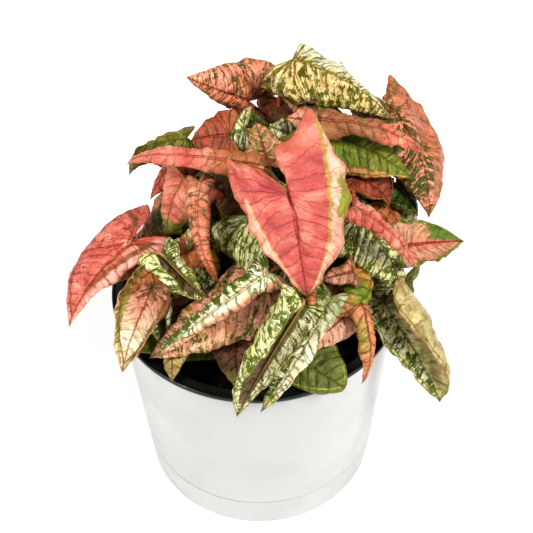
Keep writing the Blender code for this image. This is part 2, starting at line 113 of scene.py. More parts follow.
def soft_lamp(name, eye, size, power):
    """A square area lamp aimed at the middle of the plant."""
    bpy.ops.object.light_add(type="AREA")
    lamp = bpy.context.object
    lamp.name = name
    lamp.data.size = size
    lamp.data.energy = power
    lamp.matrix_world = aim_matrix(Vector(eye), Vector((0, 0, 0.12)))


soft_lamp("right_lamp", (1.15, -0.75, 1.7), 0.6, 27.0)
soft_lamp("left_lamp", (-1.2, -0.65, 1.5), 0.6, 17.0)

# %% [markdown]
# ## Colours and node helpers
# Colours are written as a painter reads them off a screen, from 0 to 255, and turned to the linear
# values that the renderer works in. A few short helpers add one node each, so that a material reads
# like a sum: every input is either a plain value or another node's output, which also tells the
# helper which tree it works in.

# %% Node helpers
def paint(red, green, blue):
    """Screen colour 0-255 as linear RGBA."""
    screen = [value / 255 for value in (red, green, blue)]
    return (*[((v + 0.055) / 1.055) ** 2.4 if v > 0.04045 else v / 12.92 for v in screen], 1.0)


def is_socket(value):
    return isinstance(value, bpy.types.NodeSocket)


def link(source, socket):
    """Joins an output to an input of the same tree."""
    socket.id_data.links.new(source, socket)


def fill(socket, source):
    """Gives an input another node's output, or a plain value."""
    if is_socket(source):
        link(source, socket)
    elif source is not None:
        socket.default_value = source


def put(kind, sources=(), tree=None, **settings):
    """Adds a node to the tree of its sources, sets its options, and fills its inputs in order."""
    tree = tree or next(source.id_data for source in sources if is_socket(source))
    made = tree.nodes.new("ShaderNode" + kind)
    for option, value in settings.items():
        setattr(made, option, value)
    for socket, source in zip(made.inputs, sources):
        fill(socket, source)
    return made


def maths(operation, *sources):
    return put("Math", sources, operation=operation).outputs[0]


def times(*sources):
    return maths("MULTIPLY", *sources)


def plus(*sources):
    return maths("ADD", *sources)


def less(*sources):
    return maths("SUBTRACT", *sources)


def split(vector):
    """The three parts of a vector."""
    return put("SeparateXYZ", (vector,)).outputs


def join(*parts):
    """A vector from three parts."""
    return put("CombineXYZ", parts).outputs[0]


def step(value, low, high, start=0.0, stop=1.0):
    """Smooth change from start to stop as value goes from low to high."""
    return put("MapRange", (value, low, high, start, stop), interpolation_type="SMOOTHSTEP").outputs[0]


def mix(share, first, second, mode="MIX"):
    """Mixes two colours by a share."""
    sources = (share, None, None, None, None, None, first, second)
    return put("Mix", sources, data_type="RGBA", blend_type=mode).outputs[2]


def noise(place, scale, detail=3.0, roughness=0.55):
    """Round noise at a place, about 0 to 1."""
    made = put("TexNoise", (place,))
    for label, value in (("Scale", scale), ("Detail", detail), ("Roughness", roughness)):
        fill(made.inputs[label], value)
    return made.outputs[0]


def new_group(name, takes, gives):
    """An empty node group: its tree, its inputs and its outputs by name."""
    group = bpy.data.node_groups.new(name, "ShaderNodeTree")
    for label, value in takes.items():
        kind = "NodeSocketVector" if value is None else "NodeSocketFloat"
        socket = group.interface.new_socket(name=label, in_out="INPUT", socket_type=kind)
        if value is not None:
            socket.default_value = value
    for label in gives:
        group.interface.new_socket(name=label, in_out="OUTPUT", socket_type="NodeSocketFloat")
    entry = group.nodes.new("NodeGroupInput").outputs
    leave = group.nodes.new("NodeGroupOutput").inputs
    return group, entry, leave


def use_group(group, **values):
    """Places a group by its inputs; a value's name has underscores for the spaces of its input's name."""
    tree = next(source.id_data for source in values.values() if is_socket(source))
    made = tree.nodes.new("ShaderNodeGroup")
    made.node_tree = group
    for label, source in values.items():
        fill(made.inputs[label.replace("_", " ")], source)
    return made.outputs


def add_bump(shader, height, strength, distance, invert=False):
    """Tilts the shader's normal by a height; the distance is in metres."""
    bump = put("Bump", tree=shader.id_data, invert=invert)
    for label, value in (("Strength", strength), ("Distance", distance), ("Height", height)):
        fill(bump.inputs[label], value)
    link(bump.outputs[0], shader.inputs["Normal"])


print("pink is", [round(v, 2) for v in paint(238, 128, 115)])

# %% [markdown]
# ## Leaf patterns
# A syngonium's blade has a midrib, side veins that leave it at a slant and bend toward the tip, a
# net of fine veins between them and one vein that runs along inside the margin. The white, pink and
# green of a variegated leaf lie in ragged splashes that follow the side veins. Image textures could
# hold all this, but here each effect is a node group that reads four maps of the blade:
#
# - flat: the place on the unrolled blade, in centimetres
# - span: across from -1 to 1, and along from 0 at the base to 1 at the tip
# - veins: the number of side veins passed so far, and the millimetres between two of them
# - edge: millimetres from the midrib, and from the margin
#
# So a vein keeps its real width however the blade is bent, and the pattern rolls with the leaf.

# %% Vein group
vein_group, entry, leave = new_group(
    "leaf veins",
    {"Flat": None, "Veins": None, "Span": None, "Edge": None, "Width": 0.5, "Seed": 0.0},
    ("Laterals", "Midrib", "Network", "Lace", "Panel"),
)
veins = split(entry["Veins"])
span = split(entry["Span"])
edge = split(entry["Edge"])
wobble = less(noise(entry["Flat"], 3.2, 3.0), 0.5)
count = plus(veins[0], times(wobble, 0.6))
apart = times(maths("PINGPONG", count, 0.5), veins[1])
side = maths("ABSOLUTE", span[0])
swell = step(noise(entry["Flat"], 1.7, 2.0), 0.32, 0.68, 0.3, 1.6)
width = times(entry["Width"], step(side, 0.0, 1.0, 1.0, 0.5))
width = times(width, swell)
lateral = step(apart, times(width, 0.25), width, 1.0, 0.0)
link(lateral, leave["Laterals"])
lace_place = join(plus(times(count, 1.4), entry["Seed"]),
                  maths("MULTIPLY_ADD", wobble, 1.1, times(edge[0], 0.09)), 0.0)


def cell_walls(place, scale):
    """Distance to the nearest wall of a net of cells."""
    cells = put("TexVoronoi", (place,), feature="DISTANCE_TO_EDGE", voronoi_dimensions="2D")
    cells.inputs["Scale"].default_value = scale
    return cells.outputs["Distance"]


lace = step(cell_walls(lace_place, 1.0), 0.02, times(swell, 0.13), 1.0, 0.0)
drift = put("VectorMath", (entry["Flat"], (7.3, 2.1, 0.0)), operation="ADD").outputs[0]  # a noise of its own
lace = times(lace, step(noise(drift, 0.8, 2.0), 0.38, 0.58, 0.15, 1.0))
link(lace, leave["Lace"])
rib_width = times(entry["Width"], step(span[1], 0.0, 1.0, 1.7, 0.7))
rib = step(edge[0], times(rib_width, 0.3), rib_width, 1.0, 0.0)
link(rib, leave["Midrib"])
shift = put("VectorMath", (entry["Flat"], join(times(wobble, 0.25), wobble, 0.0)))
link(step(cell_walls(shift.outputs[0], 4.2), 0.015, 0.1, 1.0, 0.0), leave["Network"])
half_number = times(maths("SIGN", span[0]), 37.0)  # so that the two halves don't match
panel = put("TexWhiteNoise", (None, plus(maths("FLOOR", count), half_number)), noise_dimensions="1D")
link(panel.outputs[0], leave["Panel"])
print("vein group nodes:", len(vein_group.nodes))

# %% [markdown]
# A splash is noise that is drawn out along the side veins: its place is the vein number across and
# the millimetres from the midrib along. A little round noise breaks its outline up.

# %% Splash group
splash_group, entry, leave = new_group(
    "leaf splashes",
    {"Flat": None, "Veins": None, "Edge": None, "Across": 1.6, "Along": 0.12, "Amount": 0.5,
     "Softness": 0.035, "Seed": 0.0},
    ("Mask",),
)
veins = split(entry["Veins"])
edge = split(entry["Edge"])
along_vein = join(times(veins[0], entry["Across"]), times(edge[0], entry["Along"]), entry["Seed"])
drawn = noise(along_vein, 1.0, 5.0, 0.65)
ragged = noise(entry["Flat"], 3.4, 4.0, 0.7)
both = plus(times(drawn, 0.55), times(ragged, 0.45))
bar = less(0.76, times(entry["Amount"], 0.52))
mask = step(both, bar, plus(bar, entry["Softness"]))
link(mask, leave["Mask"])
print("splash group nodes:", len(splash_group.nodes))

# %% [markdown]
# The margin has three marks: the line of the vein inside it, a dry rim a millimetre or so wide, and
# a tip that browns first. All three wander a little with noise.

# %% Margin group
margin_group, entry, leave = new_group(
    "leaf margin",
    {"Flat": None, "Span": None, "Edge": None, "Line Inset": 2.2, "Line Width": 0.45,
     "Rim Width": 0.8, "Tip Start": 0.9},
    ("Line", "Rim", "Tip"),
)
span = split(entry["Span"])
edge = split(entry["Edge"])
wander = times(less(noise(entry["Flat"], 2.4), 0.5), 2.4)
inset = plus(edge[1], wander)
off_line = maths("ABSOLUTE", less(inset, entry["Line Inset"]))
line = step(off_line, times(entry["Line Width"], 0.3), entry["Line Width"], 1.0, 0.0)
link(line, leave["Line"])
rim_stop = times(entry["Rim Width"], 1.6)
rim = step(inset, times(entry["Rim Width"], 0.4), rim_stop, 1.0, 0.0)
link(rim, leave["Rim"])
tip_place = plus(span[1], times(wander, 0.02))
tip = step(tip_place, entry["Tip Start"], plus(entry["Tip Start"], 0.08))
link(tip, leave["Tip"])
print("margin group nodes:", len(margin_group.nodes))

# %% [markdown]
# Some leaves have one half, one end or one stretch in a colour of its own. A soft-edged window on
# the span map, with a ragged outline, marks such an area.

# %% Area group
area_group, entry, leave = new_group(
    "leaf area",
    {"Flat": None, "Span": None, "Left": -1.2, "Right": 1.2, "Start": -0.2, "Stop": 1.2,
     "Softness": 0.06, "Ragged": 0.25},
    ("Mask",),
)
span = split(entry["Span"])
torn = times(less(noise(entry["Flat"], 2.2, 4.0, 0.6), 0.5), entry["Ragged"])
places = [plus(span[index], torn) for index in (0, 1)]
windows = []
for place, low, high in ((places[0], "Left", "Right"), (places[1], "Start", "Stop")):
    after = maths("DIVIDE", less(place, entry[low]), entry["Softness"])
    before = maths("DIVIDE", less(entry[high], place), entry["Softness"])
    windows.append(step(after, -0.5, 0.5))
    windows.append(step(before, -0.5, 0.5))
window = times(times(*windows[:2]), times(*windows[2:]))
link(window, leave["Mask"])
print("area group nodes:", len(area_group.nodes))

# %% [markdown]
# Light picks out a wilted leaf by its relief: sunken veins, puffed panels between them and the fine
# crepe of the drying skin. The larger puffs are in the mesh, and this group adds the fine part as a
# height for a Bump node.
# Its Shade output is painted shade: the leaf's colour is made darker in the creases of the crepe.

# %% Relief group
relief_group, entry, leave = new_group(
    "leaf relief",
    {"Flat": None, "Veins": None, "Edge": None, "Laterals": 0.0, "Midrib": 0.0, "Network": 0.0,
     "Crepe": 1.0},
    ("Height", "Shade"),
)
veins = split(entry["Veins"])
edge = split(entry["Edge"])
folds = join(times(veins[0], 1.5), times(edge[0], 0.17), 0.0)
drawn = plus(times(noise(folds, 1.3, 4.0, 0.6), 0.55),
             times(noise(entry["Flat"], 3.6, 3.0, 0.6), 0.45))
crepe = times(drawn, 2.0)
skin = times(noise(entry["Flat"], 14.0, 2.0, 0.6), 0.25)
height = times(plus(crepe, skin), entry["Crepe"])
# Painted shade: darker in the creases of the crepe.
link(step(drawn, 0.36, 0.54, 0.5, 1.0), leave["Shade"])
for label, depth in (("Laterals", 0.45), ("Midrib", 0.8), ("Network", 0.1)):
    height = less(height, times(entry[label], depth))
link(height, leave["Height"])
print("relief group nodes:", len(relief_group.nodes))

# %% [markdown]
# ## Leaf finishes
# No two leaves of the plant have the same colours: a rose one has thin red veins, a cream one is
# veined in olive, others are white and green, peach, rust or olive, and the undersides are purple
# brown to beige. One function lays these paints over each other in the order in which they lie on
# the leaf, and a table of finishes gives it the colours. A leaf may then change single entries.

# %% Leaf material
PLAIN_LOOK = dict(
    # The pale clouds are partly the skin's own paler patches and partly painted highlight.
    ground=(228, 126, 112), deep=(192, 86, 78), cloud=0.7, pale=(248, 188, 164), pales=0.7,  # cloudy skin
    splash=(84, 98, 22), amount=0.0, fleck=(240, 232, 196), flecks=0.0,  # two layers of ragged marks
    across=1.6, along=0.12,  # how often the marks change from vein to vein, and along a vein
    vein=(160, 66, 46), veins=0.5, vein_width=0.5, midrib=(150, 52, 44), midribs=0.75,
    net=0.2, lace=(164, 92, 48), laces=0.5,  # fine veins in the vein's colour, and coarser ones
    line=(130, 120, 40), lines=0.3, line_width=0.45, inset=1.8,  # the vein inside the margin
    rim=(160, 96, 50), rims=0.6, rim_width=0.7, tip=(128, 96, 36), tips=0.6,
    areas=[], patches=[],  # stretches in one colour, and stretches with splashes of their own
    # shade: how far painted shade darkens the creases of the crepe
    rough=0.37, crepe=1.0, shade=0.75,
)
UNDER_SEED = 3.0


def area(colour, strength=1.0, softness=0.1, ragged=0.25, across=(-1.1, 1.1), along=(-0.1, 1.1)):
    """A stretch of a leaf by the span map; in a patch the strength is the amount of its splashes."""
    window = dict(Left=across[0], Right=across[1], Start=along[0], Stop=along[1])
    return colour, strength, dict(window, Softness=softness, Ragged=ragged)


def leaf_material(name, look, seed, raised=False):
    """Paints from the ground up: clouds, splashes, flecks, areas, patches, veins, line, rim, tip, then
    painted shade.
    """
    look = {**PLAIN_LOOK, **look}
    made, tree, shader = new_material(name)
    flat, span, veins, edge = (put("UVMap", tree=tree, uv_map=label).outputs[0]
                               for label in ("flat", "span", "veins", "edge"))
    lines = use_group(vein_group, Flat=flat, Veins=veins, Span=span, Edge=edge,
                      Width=look["vein_width"], Seed=seed * 2.3)
    clouds = noise(flat, 0.9, 4.0, 0.65)
    cloud = times(step(clouds, 0.5, 0.66), look["cloud"])
    # Pale clouds: partly the skin's paler patches, partly painted highlight.
    pale = times(step(clouds, 0.5, 0.34), look["pales"])
    colour = mix(cloud, paint(*look["ground"]), paint(*look["deep"]))
    colour = mix(pale, colour, paint(*look["pale"]))
    shade = maths("MULTIPLY_ADD", lines["Panel"], 0.2, 0.86)
    colour = mix(1.0, colour, put("CombineColor", (shade, shade, shade)).outputs[0], "MULTIPLY")

    def splash_mask(amount, number):
        """One layer of splashes; the number sets it apart from the leaf's other layers."""
        return use_group(splash_group, Flat=flat, Veins=veins, Edge=edge, Amount=amount,
                         Across=look["across"], Along=look["along"], Seed=seed * 3.7 + number)["Mask"]

    if look["amount"] > 0:
        colour = mix(splash_mask(look["amount"], 1.3), colour, paint(*look["splash"]))
    if look["flecks"] > 0:
        colour = mix(splash_mask(look["flecks"], 9.1), colour, paint(*look["fleck"]))
    for over, strength, window in look["areas"]:
        mask = use_group(area_group, Flat=flat, Span=span, **window)["Mask"]
        colour = mix(times(mask, strength), colour, paint(*over))
    for number, (over, amount, window) in enumerate(look["patches"]):
        mask = use_group(area_group, Flat=flat, Span=span, **window)["Mask"]
        colour = mix(times(mask, splash_mask(amount, 20.0 + number)), colour, paint(*over))
    for label, over, strength in (("Network", "vein", "net"), ("Lace", "lace", "laces"),
                                  ("Laterals", "vein", "veins"), ("Midrib", "midrib", "midribs")):
        colour = mix(times(lines[label], look[strength]), colour, paint(*look[over]))
    marks = use_group(margin_group, Flat=flat, Span=span, Edge=edge, Line_Inset=look["inset"],
                      Line_Width=look["line_width"], Rim_Width=look["rim_width"])
    for label, over, strength in (("Line", "line", "lines"), ("Rim", "rim", "rims"), ("Tip", "tip", "tips")):
        if look[strength] > 0:
            colour = mix(times(marks[label], look[strength]), colour, paint(*look[over]))
    skin = use_group(relief_group, Flat=flat, Veins=veins, Edge=edge, Laterals=lines["Laterals"],
                     Midrib=lines["Midrib"], Network=lines["Network"], Crepe=look["crepe"])
    # Painted shade: the creases of the crepe darken the colour, blue most, so they also turn warmer.
    greener, bluer = (maths("POWER", skin["Shade"], power) for power in (1.2, 1.7))
    dark = put("CombineColor", (skin["Shade"], greener, bluer)).outputs[0]
    link(mix(look["shade"], colour, dark, "MULTIPLY"), shader.inputs["Base Color"])
    rough = maths("MULTIPLY_ADD", noise(flat, 5.0), 0.22, look["rough"] - 0.11)
    link(rough, shader.inputs["Roughness"])
    add_bump(shader, skin["Height"], 0.9, 0.0009, invert=raised)
    shader.inputs["Specular IOR Level"].default_value = 0.42
    return made


print("a finish can set", len(PLAIN_LOOK), "values")

# %% Table of finishes
GREEN_LINES = dict(
    vein=(86, 102, 10), vein_width=0.7, midrib=(106, 118, 24), lace=(88, 104, 10), laces=0.95,
    rim=(138, 124, 48), tip=(116, 100, 30), line=(116, 122, 28), lines=0.9,
)
FINISHES = {
    "rose": dict(),
    "rose_green": dict(ground=(242, 158, 128), deep=(222, 122, 96), splash=(78, 92, 18), amount=0.46,
        across=2.4, along=0.1, vein=(112, 72, 34), lace=(98, 84, 26), laces=0.85, veins=0.6),
    "deep_rose": dict(ground=(222, 130, 108), deep=(186, 92, 70), midribs=0.25, vein=(136, 54, 40),
        lace=(150, 66, 46), laces=0.5),
    "pale_rose": dict(ground=(236, 172, 148), deep=(220, 136, 114), pale=(246, 206, 184),
        vein=(150, 110, 50), veins=0.5, lace=(128, 124, 36), laces=0.6, splash=(112, 128, 36), amount=0.36,
        across=2.2),
    "rust": dict(ground=(176, 92, 66), deep=(130, 62, 40), pale=(206, 122, 90), vein=(96, 52, 30),
        lace=(110, 96, 30), laces=0.5, rim=(150, 120, 50)),
    "orange": dict(ground=(202, 126, 76), deep=(168, 88, 44), pale=(224, 150, 110), vein=(110, 84, 28),
        midrib=(130, 84, 40), lace=(116, 100, 30), laces=0.6, splash=(112, 112, 28), amount=0.34, across=2.6,
        rim=(140, 90, 40)),
    "peach": dict(ground=(224, 172, 122), deep=(206, 142, 98), pale=(236, 200, 156), vein=(84, 98, 22),
        veins=0.85, vein_width=0.7, midrib=(84, 98, 26), lace=(86, 100, 22), laces=0.85,
        splash=(88, 106, 24), amount=0.42, across=2.6),
    "cream_yellow": dict(ground=(246, 216, 160), deep=(228, 186, 122), pale=(252, 232, 196),
        vein=(118, 108, 20), veins=0.9, vein_width=0.6, net=0.3, lace=(112, 108, 20), laces=0.9,
        midrib=(110, 104, 24), splash=(100, 106, 20), amount=0.5, across=2.3, along=0.14,
        line=(126, 104, 26), lines=0.9, rim=(140, 112, 40)),
    "cream": dict(ground=(242, 226, 194), deep=(226, 192, 150), pale=(252, 246, 228), vein=(160, 124, 80),
        veins=0.4, lace=(150, 120, 60), laces=0.4, line_width=0.9, midrib=(180, 84, 70),
        splash=(126, 130, 44), amount=0.3, across=2.2, line=(124, 112, 34), lines=0.9, inset=2.6,
        rim=(222, 180, 130)),
    "cream_green": dict(GREEN_LINES, ground=(238, 232, 182), deep=(212, 212, 124), pale=(248, 244, 220),
        splash=(94, 110, 12), amount=0.5, across=2.2, along=0.16, fleck=(140, 158, 44), flecks=0.3,
        veins=0.85),
    "white_green": dict(GREEN_LINES, ground=(238, 232, 192), deep=(218, 216, 140), pale=(248, 244, 222),
        splash=(98, 114, 14), amount=0.42, across=2.2, along=0.16, fleck=(62, 78, 8), flecks=0.26,
        veins=0.85),
    "white": dict(GREEN_LINES, midribs=0.4, ground=(244, 234, 204), deep=(236, 206, 168),
        pale=(250, 246, 228), laces=0.9, splash=(104, 120, 16), amount=0.22, across=2.4, veins=0.6,
        vein_width=0.6, net=0.1, inset=3.4, patches=[area((84, 102, 12), 0.6, across=(0.15, 1.1))]),
    "green": dict(GREEN_LINES, ground=(116, 132, 30), deep=(74, 94, 16), pale=(152, 162, 60),
        vein=(62, 78, 12), lace=(186, 188, 96), laces=0.5, splash=(176, 178, 84), amount=0.38, across=2.4),
    "dark_green": dict(GREEN_LINES, ground=(64, 76, 14), deep=(32, 46, 8), pale=(88, 108, 28),
        vein=(22, 34, 6), lace=(104, 118, 40), laces=0.4, splash=(126, 138, 50), amount=0.34, across=2.2),
    "dull_green": dict(GREEN_LINES, ground=(124, 132, 66), deep=(98, 108, 44), pale=(152, 156, 98),
        vein=(72, 82, 30), veins=0.6, laces=0.3, line=(168, 166, 70), inset=2.6),
    "pale_green": dict(GREEN_LINES, ground=(190, 192, 122), deep=(152, 156, 78), pale=(222, 220, 170),
        splash=(108, 124, 34), amount=0.44, across=2.2),
    "olive": dict(GREEN_LINES, ground=(134, 124, 44), deep=(92, 82, 22), pale=(176, 164, 82),
        vein=(66, 60, 14), lace=(74, 70, 16), splash=(184, 172, 82), amount=0.34, across=2.2),
    "brown": dict(ground=(116, 80, 50), deep=(72, 46, 26), pale=(150, 106, 72), vein=(52, 34, 18),
        midrib=(104, 62, 38), lace=(100, 90, 30), laces=0.5, splash=(116, 108, 34), amount=0.4,
        rim=(170, 116, 70), tip=(120, 108, 36)),
    "beige": dict(ground=(186, 162, 106), deep=(150, 120, 70), pale=(212, 194, 144), vein=(108, 86, 40),
        midrib=(130, 100, 54), lace=(112, 100, 40), laces=0.6, splash=(140, 134, 56), amount=0.34,
        rim=(140, 108, 54)),
}
UNDERSIDES = {
    "purple_brown": dict(ground=(118, 80, 66), deep=(86, 54, 42), pale=(146, 106, 90), vein=(78, 46, 34),
        midrib=(140, 94, 72), lace=(84, 52, 38)),
    "olive_brown": dict(ground=(118, 98, 48), deep=(86, 64, 30), pale=(148, 128, 74), vein=(72, 56, 24),
        midrib=(140, 118, 64), lace=(82, 76, 26), splash=(96, 100, 30), amount=0.3),
    "beige_under": dict(ground=(202, 186, 134), deep=(162, 136, 86), pale=(222, 212, 172),
        vein=(122, 96, 50), midrib=(180, 156, 104), lace=(130, 104, 54), laces=0.55, splash=(136, 100, 58),
        amount=0.38, across=2.0, along=0.05, fleck=(146, 146, 74), flecks=0.36, veins=0.55,
        line=(140, 120, 56), lines=0.8, shade=0.9, crepe=1.6),
    "green_under": dict(ground=(122, 128, 60), deep=(92, 100, 40), pale=(156, 160, 92), vein=(80, 90, 34),
        midrib=(156, 156, 88), lace=(90, 98, 36)),
    "pink_under": dict(ground=(198, 124, 102), deep=(164, 92, 72), pale=(222, 158, 136), vein=(138, 72, 54),
        midrib=(204, 138, 112)),
    "orange_under": dict(ground=(166, 106, 50), deep=(124, 72, 30), pale=(192, 134, 76), vein=(94, 60, 24),
        midrib=(180, 120, 70), lace=(100, 84, 24), laces=0.5, splash=(110, 104, 30), amount=0.34),
}
# The underside of a folded leaf shows a bare strip beside the midrib.
BARE_STRIP = area((112, 74, 58), 0.9, 0.08, 0.2, across=(-0.42, 0.2), along=(-0.1, 0.9))
print(len(FINISHES), "finishes for the upper face,", len(UNDERSIDES), "for the underside")

# %% [markdown]
# ## The leaves
# A leaf is a flat arrow shape that is bent along its midrib and rolled across it. It could be cut
# from a plane and bent with curves or sculpted, but most of these 86 leaves must lie exactly where
# their CAD solids lie, so they are better placed by the sums that shaped the solids: where a point is
# across and along the blade says where it goes. The rest fill the crown where the CAD has no leaf.
# So each leaf starts as a primitive grid, whose points are moved by that rule, then puffed between
# the veins, merged at the tip, and thickened with Solidify.

# %% Shape values of a leaf
LEAF = dict(
    width=40,      # twice the half's flat width, in millimetres
    lobe=14,       # how far the ears reach back past the seat
    ear=0.78,      # where across the half the ear's point lies
    close=2.5,     # how narrow the notch between the ears is
    point=1.3,     # how sharp the ears are
    splay=2,       # how far the ears lean outward
    spike=0,       # how far an ear's point stands out of the ear
    overlap=0,     # how far an ear's inner corner reaches over the notch
    fold=0,        # degrees that a half is folded up at the midrib
    curl=60,       # degrees that a margin rolls, over the upper face where positive
    edge=1.4,      # how much of the roll lies near the margin
    even=0.7,      # 1 rolls by one radius from base to tip
    loose=0.3,     # how far the roll opens at the base
    wave=1.0,      # height of the margin's ripple
    waves=2.2,     # ripples from base to tip
    bend=30,       # degrees that the midrib arches, tip drooping where positive
    late=1.3,      # how much of the arch lies near the tip
    sway=0,        # degrees that the midrib bends sideways
    grid=(32, 40),
    crumple=0.5,   # height of the drying skin's wrinkles, in millimetres
    blunt=1,       # below 1 the outline is fuller toward the tip
    buckle=1.0,    # height of the folds that are as large as a thumb
    puff=0.45,     # how far the panels between the veins stand up
    rim_curl=70,   # degrees that the last few millimetres of a margin roll further
    look={},       # changes to the finish of the upper face
    under_look=None,
)
BIG = (56, 64)
SMALL = (24, 30)


def leaf(name, seat, tip, faces, upper, under, **shape):
    """A blade from seat to tip; faces is the upper side's (azimuth, elevation)."""
    named = dict(name=name, seat=seat, tip=tip, faces=faces, upper=upper, under=under)
    return {**LEAF, **named, **shape}


def inner(name, seat, tip, faces, width, upper, under, **shape):
    """One of the plainer leaves deep in the plant."""
    return leaf(name, seat, tip, faces, upper, under, width=width,
                **{**dict(lobe=8, curl=-50, grid=SMALL), **shape})


print(len(LEAF), "shape values for a leaf")

# %% [markdown]
# The leaves of each stem are listed with the stem's place in the soil, both in millimetres. A pair
# of values is for the left and right half, seen from base to tip.

# %% Leaves of the back stems
BACK_LEFT = ((-16, 26), [
    leaf("back_pink", (-2, 46, 212), (-32, 45, 228), (-5, 36), "rose_green", "olive_brown", width=(22, 46),
        lobe=(22, 26), splay=(2, 4), fold=-6, curl=-90, bend=60, ear=0.8, edge=(1.2, 2.5), grid=BIG),
    leaf("red_slope", (-12, 18, 214), (-30, 20, 209), (-30, 50), "rust", "olive_brown", width=30, lobe=6,
        bend=80, curl=-60),
    leaf("olive_roll", (-32, 24, 208), (-52, 22, 202), (-60, 60), "olive", "beige_under", width=24, lobe=5,
        curl=-100, bend=50),
    leaf("left_curl", (-51, 32, 188), (-63, 29, 180), (-80, 30), "olive", "green_under", width=22, lobe=4,
        curl=130, bend=60, grid=SMALL),
    leaf("white_green_back", (-4, 22, 215), (-21, 22, 203), (-20, 60), "white_green", "olive_brown",
        width=26, lobe=6, curl=-90, bend=40),
    inner("rear_left", (-24, 44, 180), (-38, 66, 150), (-155, 45), 42, "rose_green", "green_under", lobe=12,
        bend=50, grid=(32, 40)),
    inner("rear_middle", (-8, 54, 188), (-6, 72, 158), (180, 45), 36, "cream_green", "green_under", lobe=10,
        bend=50, grid=(32, 40)),
    inner("rear_low_left", (-18, 50, 158), (-14, 68, 134), (-175, 45), 36, "green", "olive_brown", bend=40),
    inner("left_dark", (-20, 19, 178), (-50, 20, 160), (-40, 45), 40, "dark_green", "olive_brown", bend=40),
    inner("top_left", (-8, 22, 196), (-28, 10, 200), (-30, 50), 40, "brown", "purple_brown", bend=40),
    inner("deep_green", (4, 29, 194), (-2, 44, 209), (0, 35), 28, "dark_green", "green_under", lobe=6,
        curl=-80, bend=20),
    inner("white_green_centre", (20, 32, 201), (7, 30, 209), (-10, 50), 20, "white_green", "green_under",
        lobe=6, curl=-60),
    inner("rolled_left", (-22, 19, 190), (-34, 8, 178), (-40, 45), 26, "white_green", "green_under",
        curl=-140),
])
BACK_RIGHT = ((22, 28), [
    leaf("back_cream", (19, 45, 238), (66, 32, 211), (12, 58), "cream_yellow", "beige_under", width=(42, 42),
        lobe=(3, 12), splay=4, fold=(-44, -28), curl=-40, bend=80, blunt=0.8, grid=BIG,
        look=dict(areas=[area((236, 238, 212), 0.75, 0.12, across=(-1.1, -0.12))])),
    leaf("pale_roll", (17, 50, 228), (24, 33, 208), (10, 30), "pale_rose", "olive_brown", width=28, lobe=4,
        curl=-170, bend=35),
    leaf("back_tall", (72, 34, 209), (84, -2, 177), (38, 38), "rose_green", "purple_brown", width=(84, 50),
        lobe=(15, 20), splay=(-4, 0), fold=-14, curl=(-45, -25), bend=30, sway=25, ear=(0.55, 0.8), close=5,
        spike=(9, 0), overlap=(14, 0), grid=BIG,
        look=dict(net=0.4, amount=0.56, across=2.0,
                  areas=[area((206, 128, 96), 0.85, 0.15, 0.4, across=(-1.1, -0.3))])),
    leaf("cross_roll", (31, 14, 226), (82, 9, 206), (10, 70), "deep_rose", "olive_brown", width=23, lobe=3,
        curl=-190, bend=75, even=1, grid=BIG,
        look=dict(tip=(206, 184, 92), tips=0.9,
                  areas=[area((150, 112, 72), 0.9, 0.2, 0.5, along=(-0.1, 0.5))])),
    leaf("green_right", (33, 18, 216), (75, 3, 198), (15, 62), "green", "purple_brown", width=(34, 42),
        lobe=8, curl=(-50, -60), bend=45,
        look=dict(areas=[area((222, 158, 110), 0.95, 0.1, across=(0.68, 1.1)),
                         area((124, 124, 34), 0.7, 0.2, across=(-1.1, 0.6), along=(0.45, 1.1))])),
    leaf("hollow_leaf", (48, 3, 200), (65, 1, 182), (70, 30), "rust", "orange_under", width=(36, 26), lobe=6,
        curl=(150, 60), bend=60),
    inner("top_right", (39, 22, 200), (63, 6, 184), (40, 45), 40, "brown", "purple_brown", bend=40),
    inner("rear_right", (34, 46, 178), (46, 66, 148), (150, 45), 42, "rose", "olive_brown", lobe=12, bend=50,
        grid=(32, 40)),
    inner("back_brown", (29, 49, 192), (39, 45, 214), (10, 30), 36, "brown", "purple_brown", lobe=10,
        bend=20),
    inner("back_pale", (34, 31, 210), (15, 29, 215), (-10, 50), 20, "pale_rose", "green_under", lobe=6,
        curl=-60),
    inner("back_olive", (26, 16, 206), (11, 16, 212), (-10, 50), 24, "olive", "olive_brown", lobe=6,
        curl=-70),
    inner("top_fill", (23, 48, 203), (11, 27, 203), (-10, 40), 34, "brown", "purple_brown", curl=-90),
    inner("top_rust", (15, 54, 206), (23, 41, 196), (10, 40), 32, "rust", "purple_brown", curl=-90),
    inner("top_green", (16, 35, 196), (17, 14, 180), (0, 40), 38, "dark_green", "olive_brown", curl=-90),
    inner("right_brown", (47, 14, 190), (67, 12, 176), (30, 45), 30, "brown", "orange_under", curl=-120),
])
print(len(BACK_LEFT[1]) + len(BACK_RIGHT[1]), "leaves at the back")

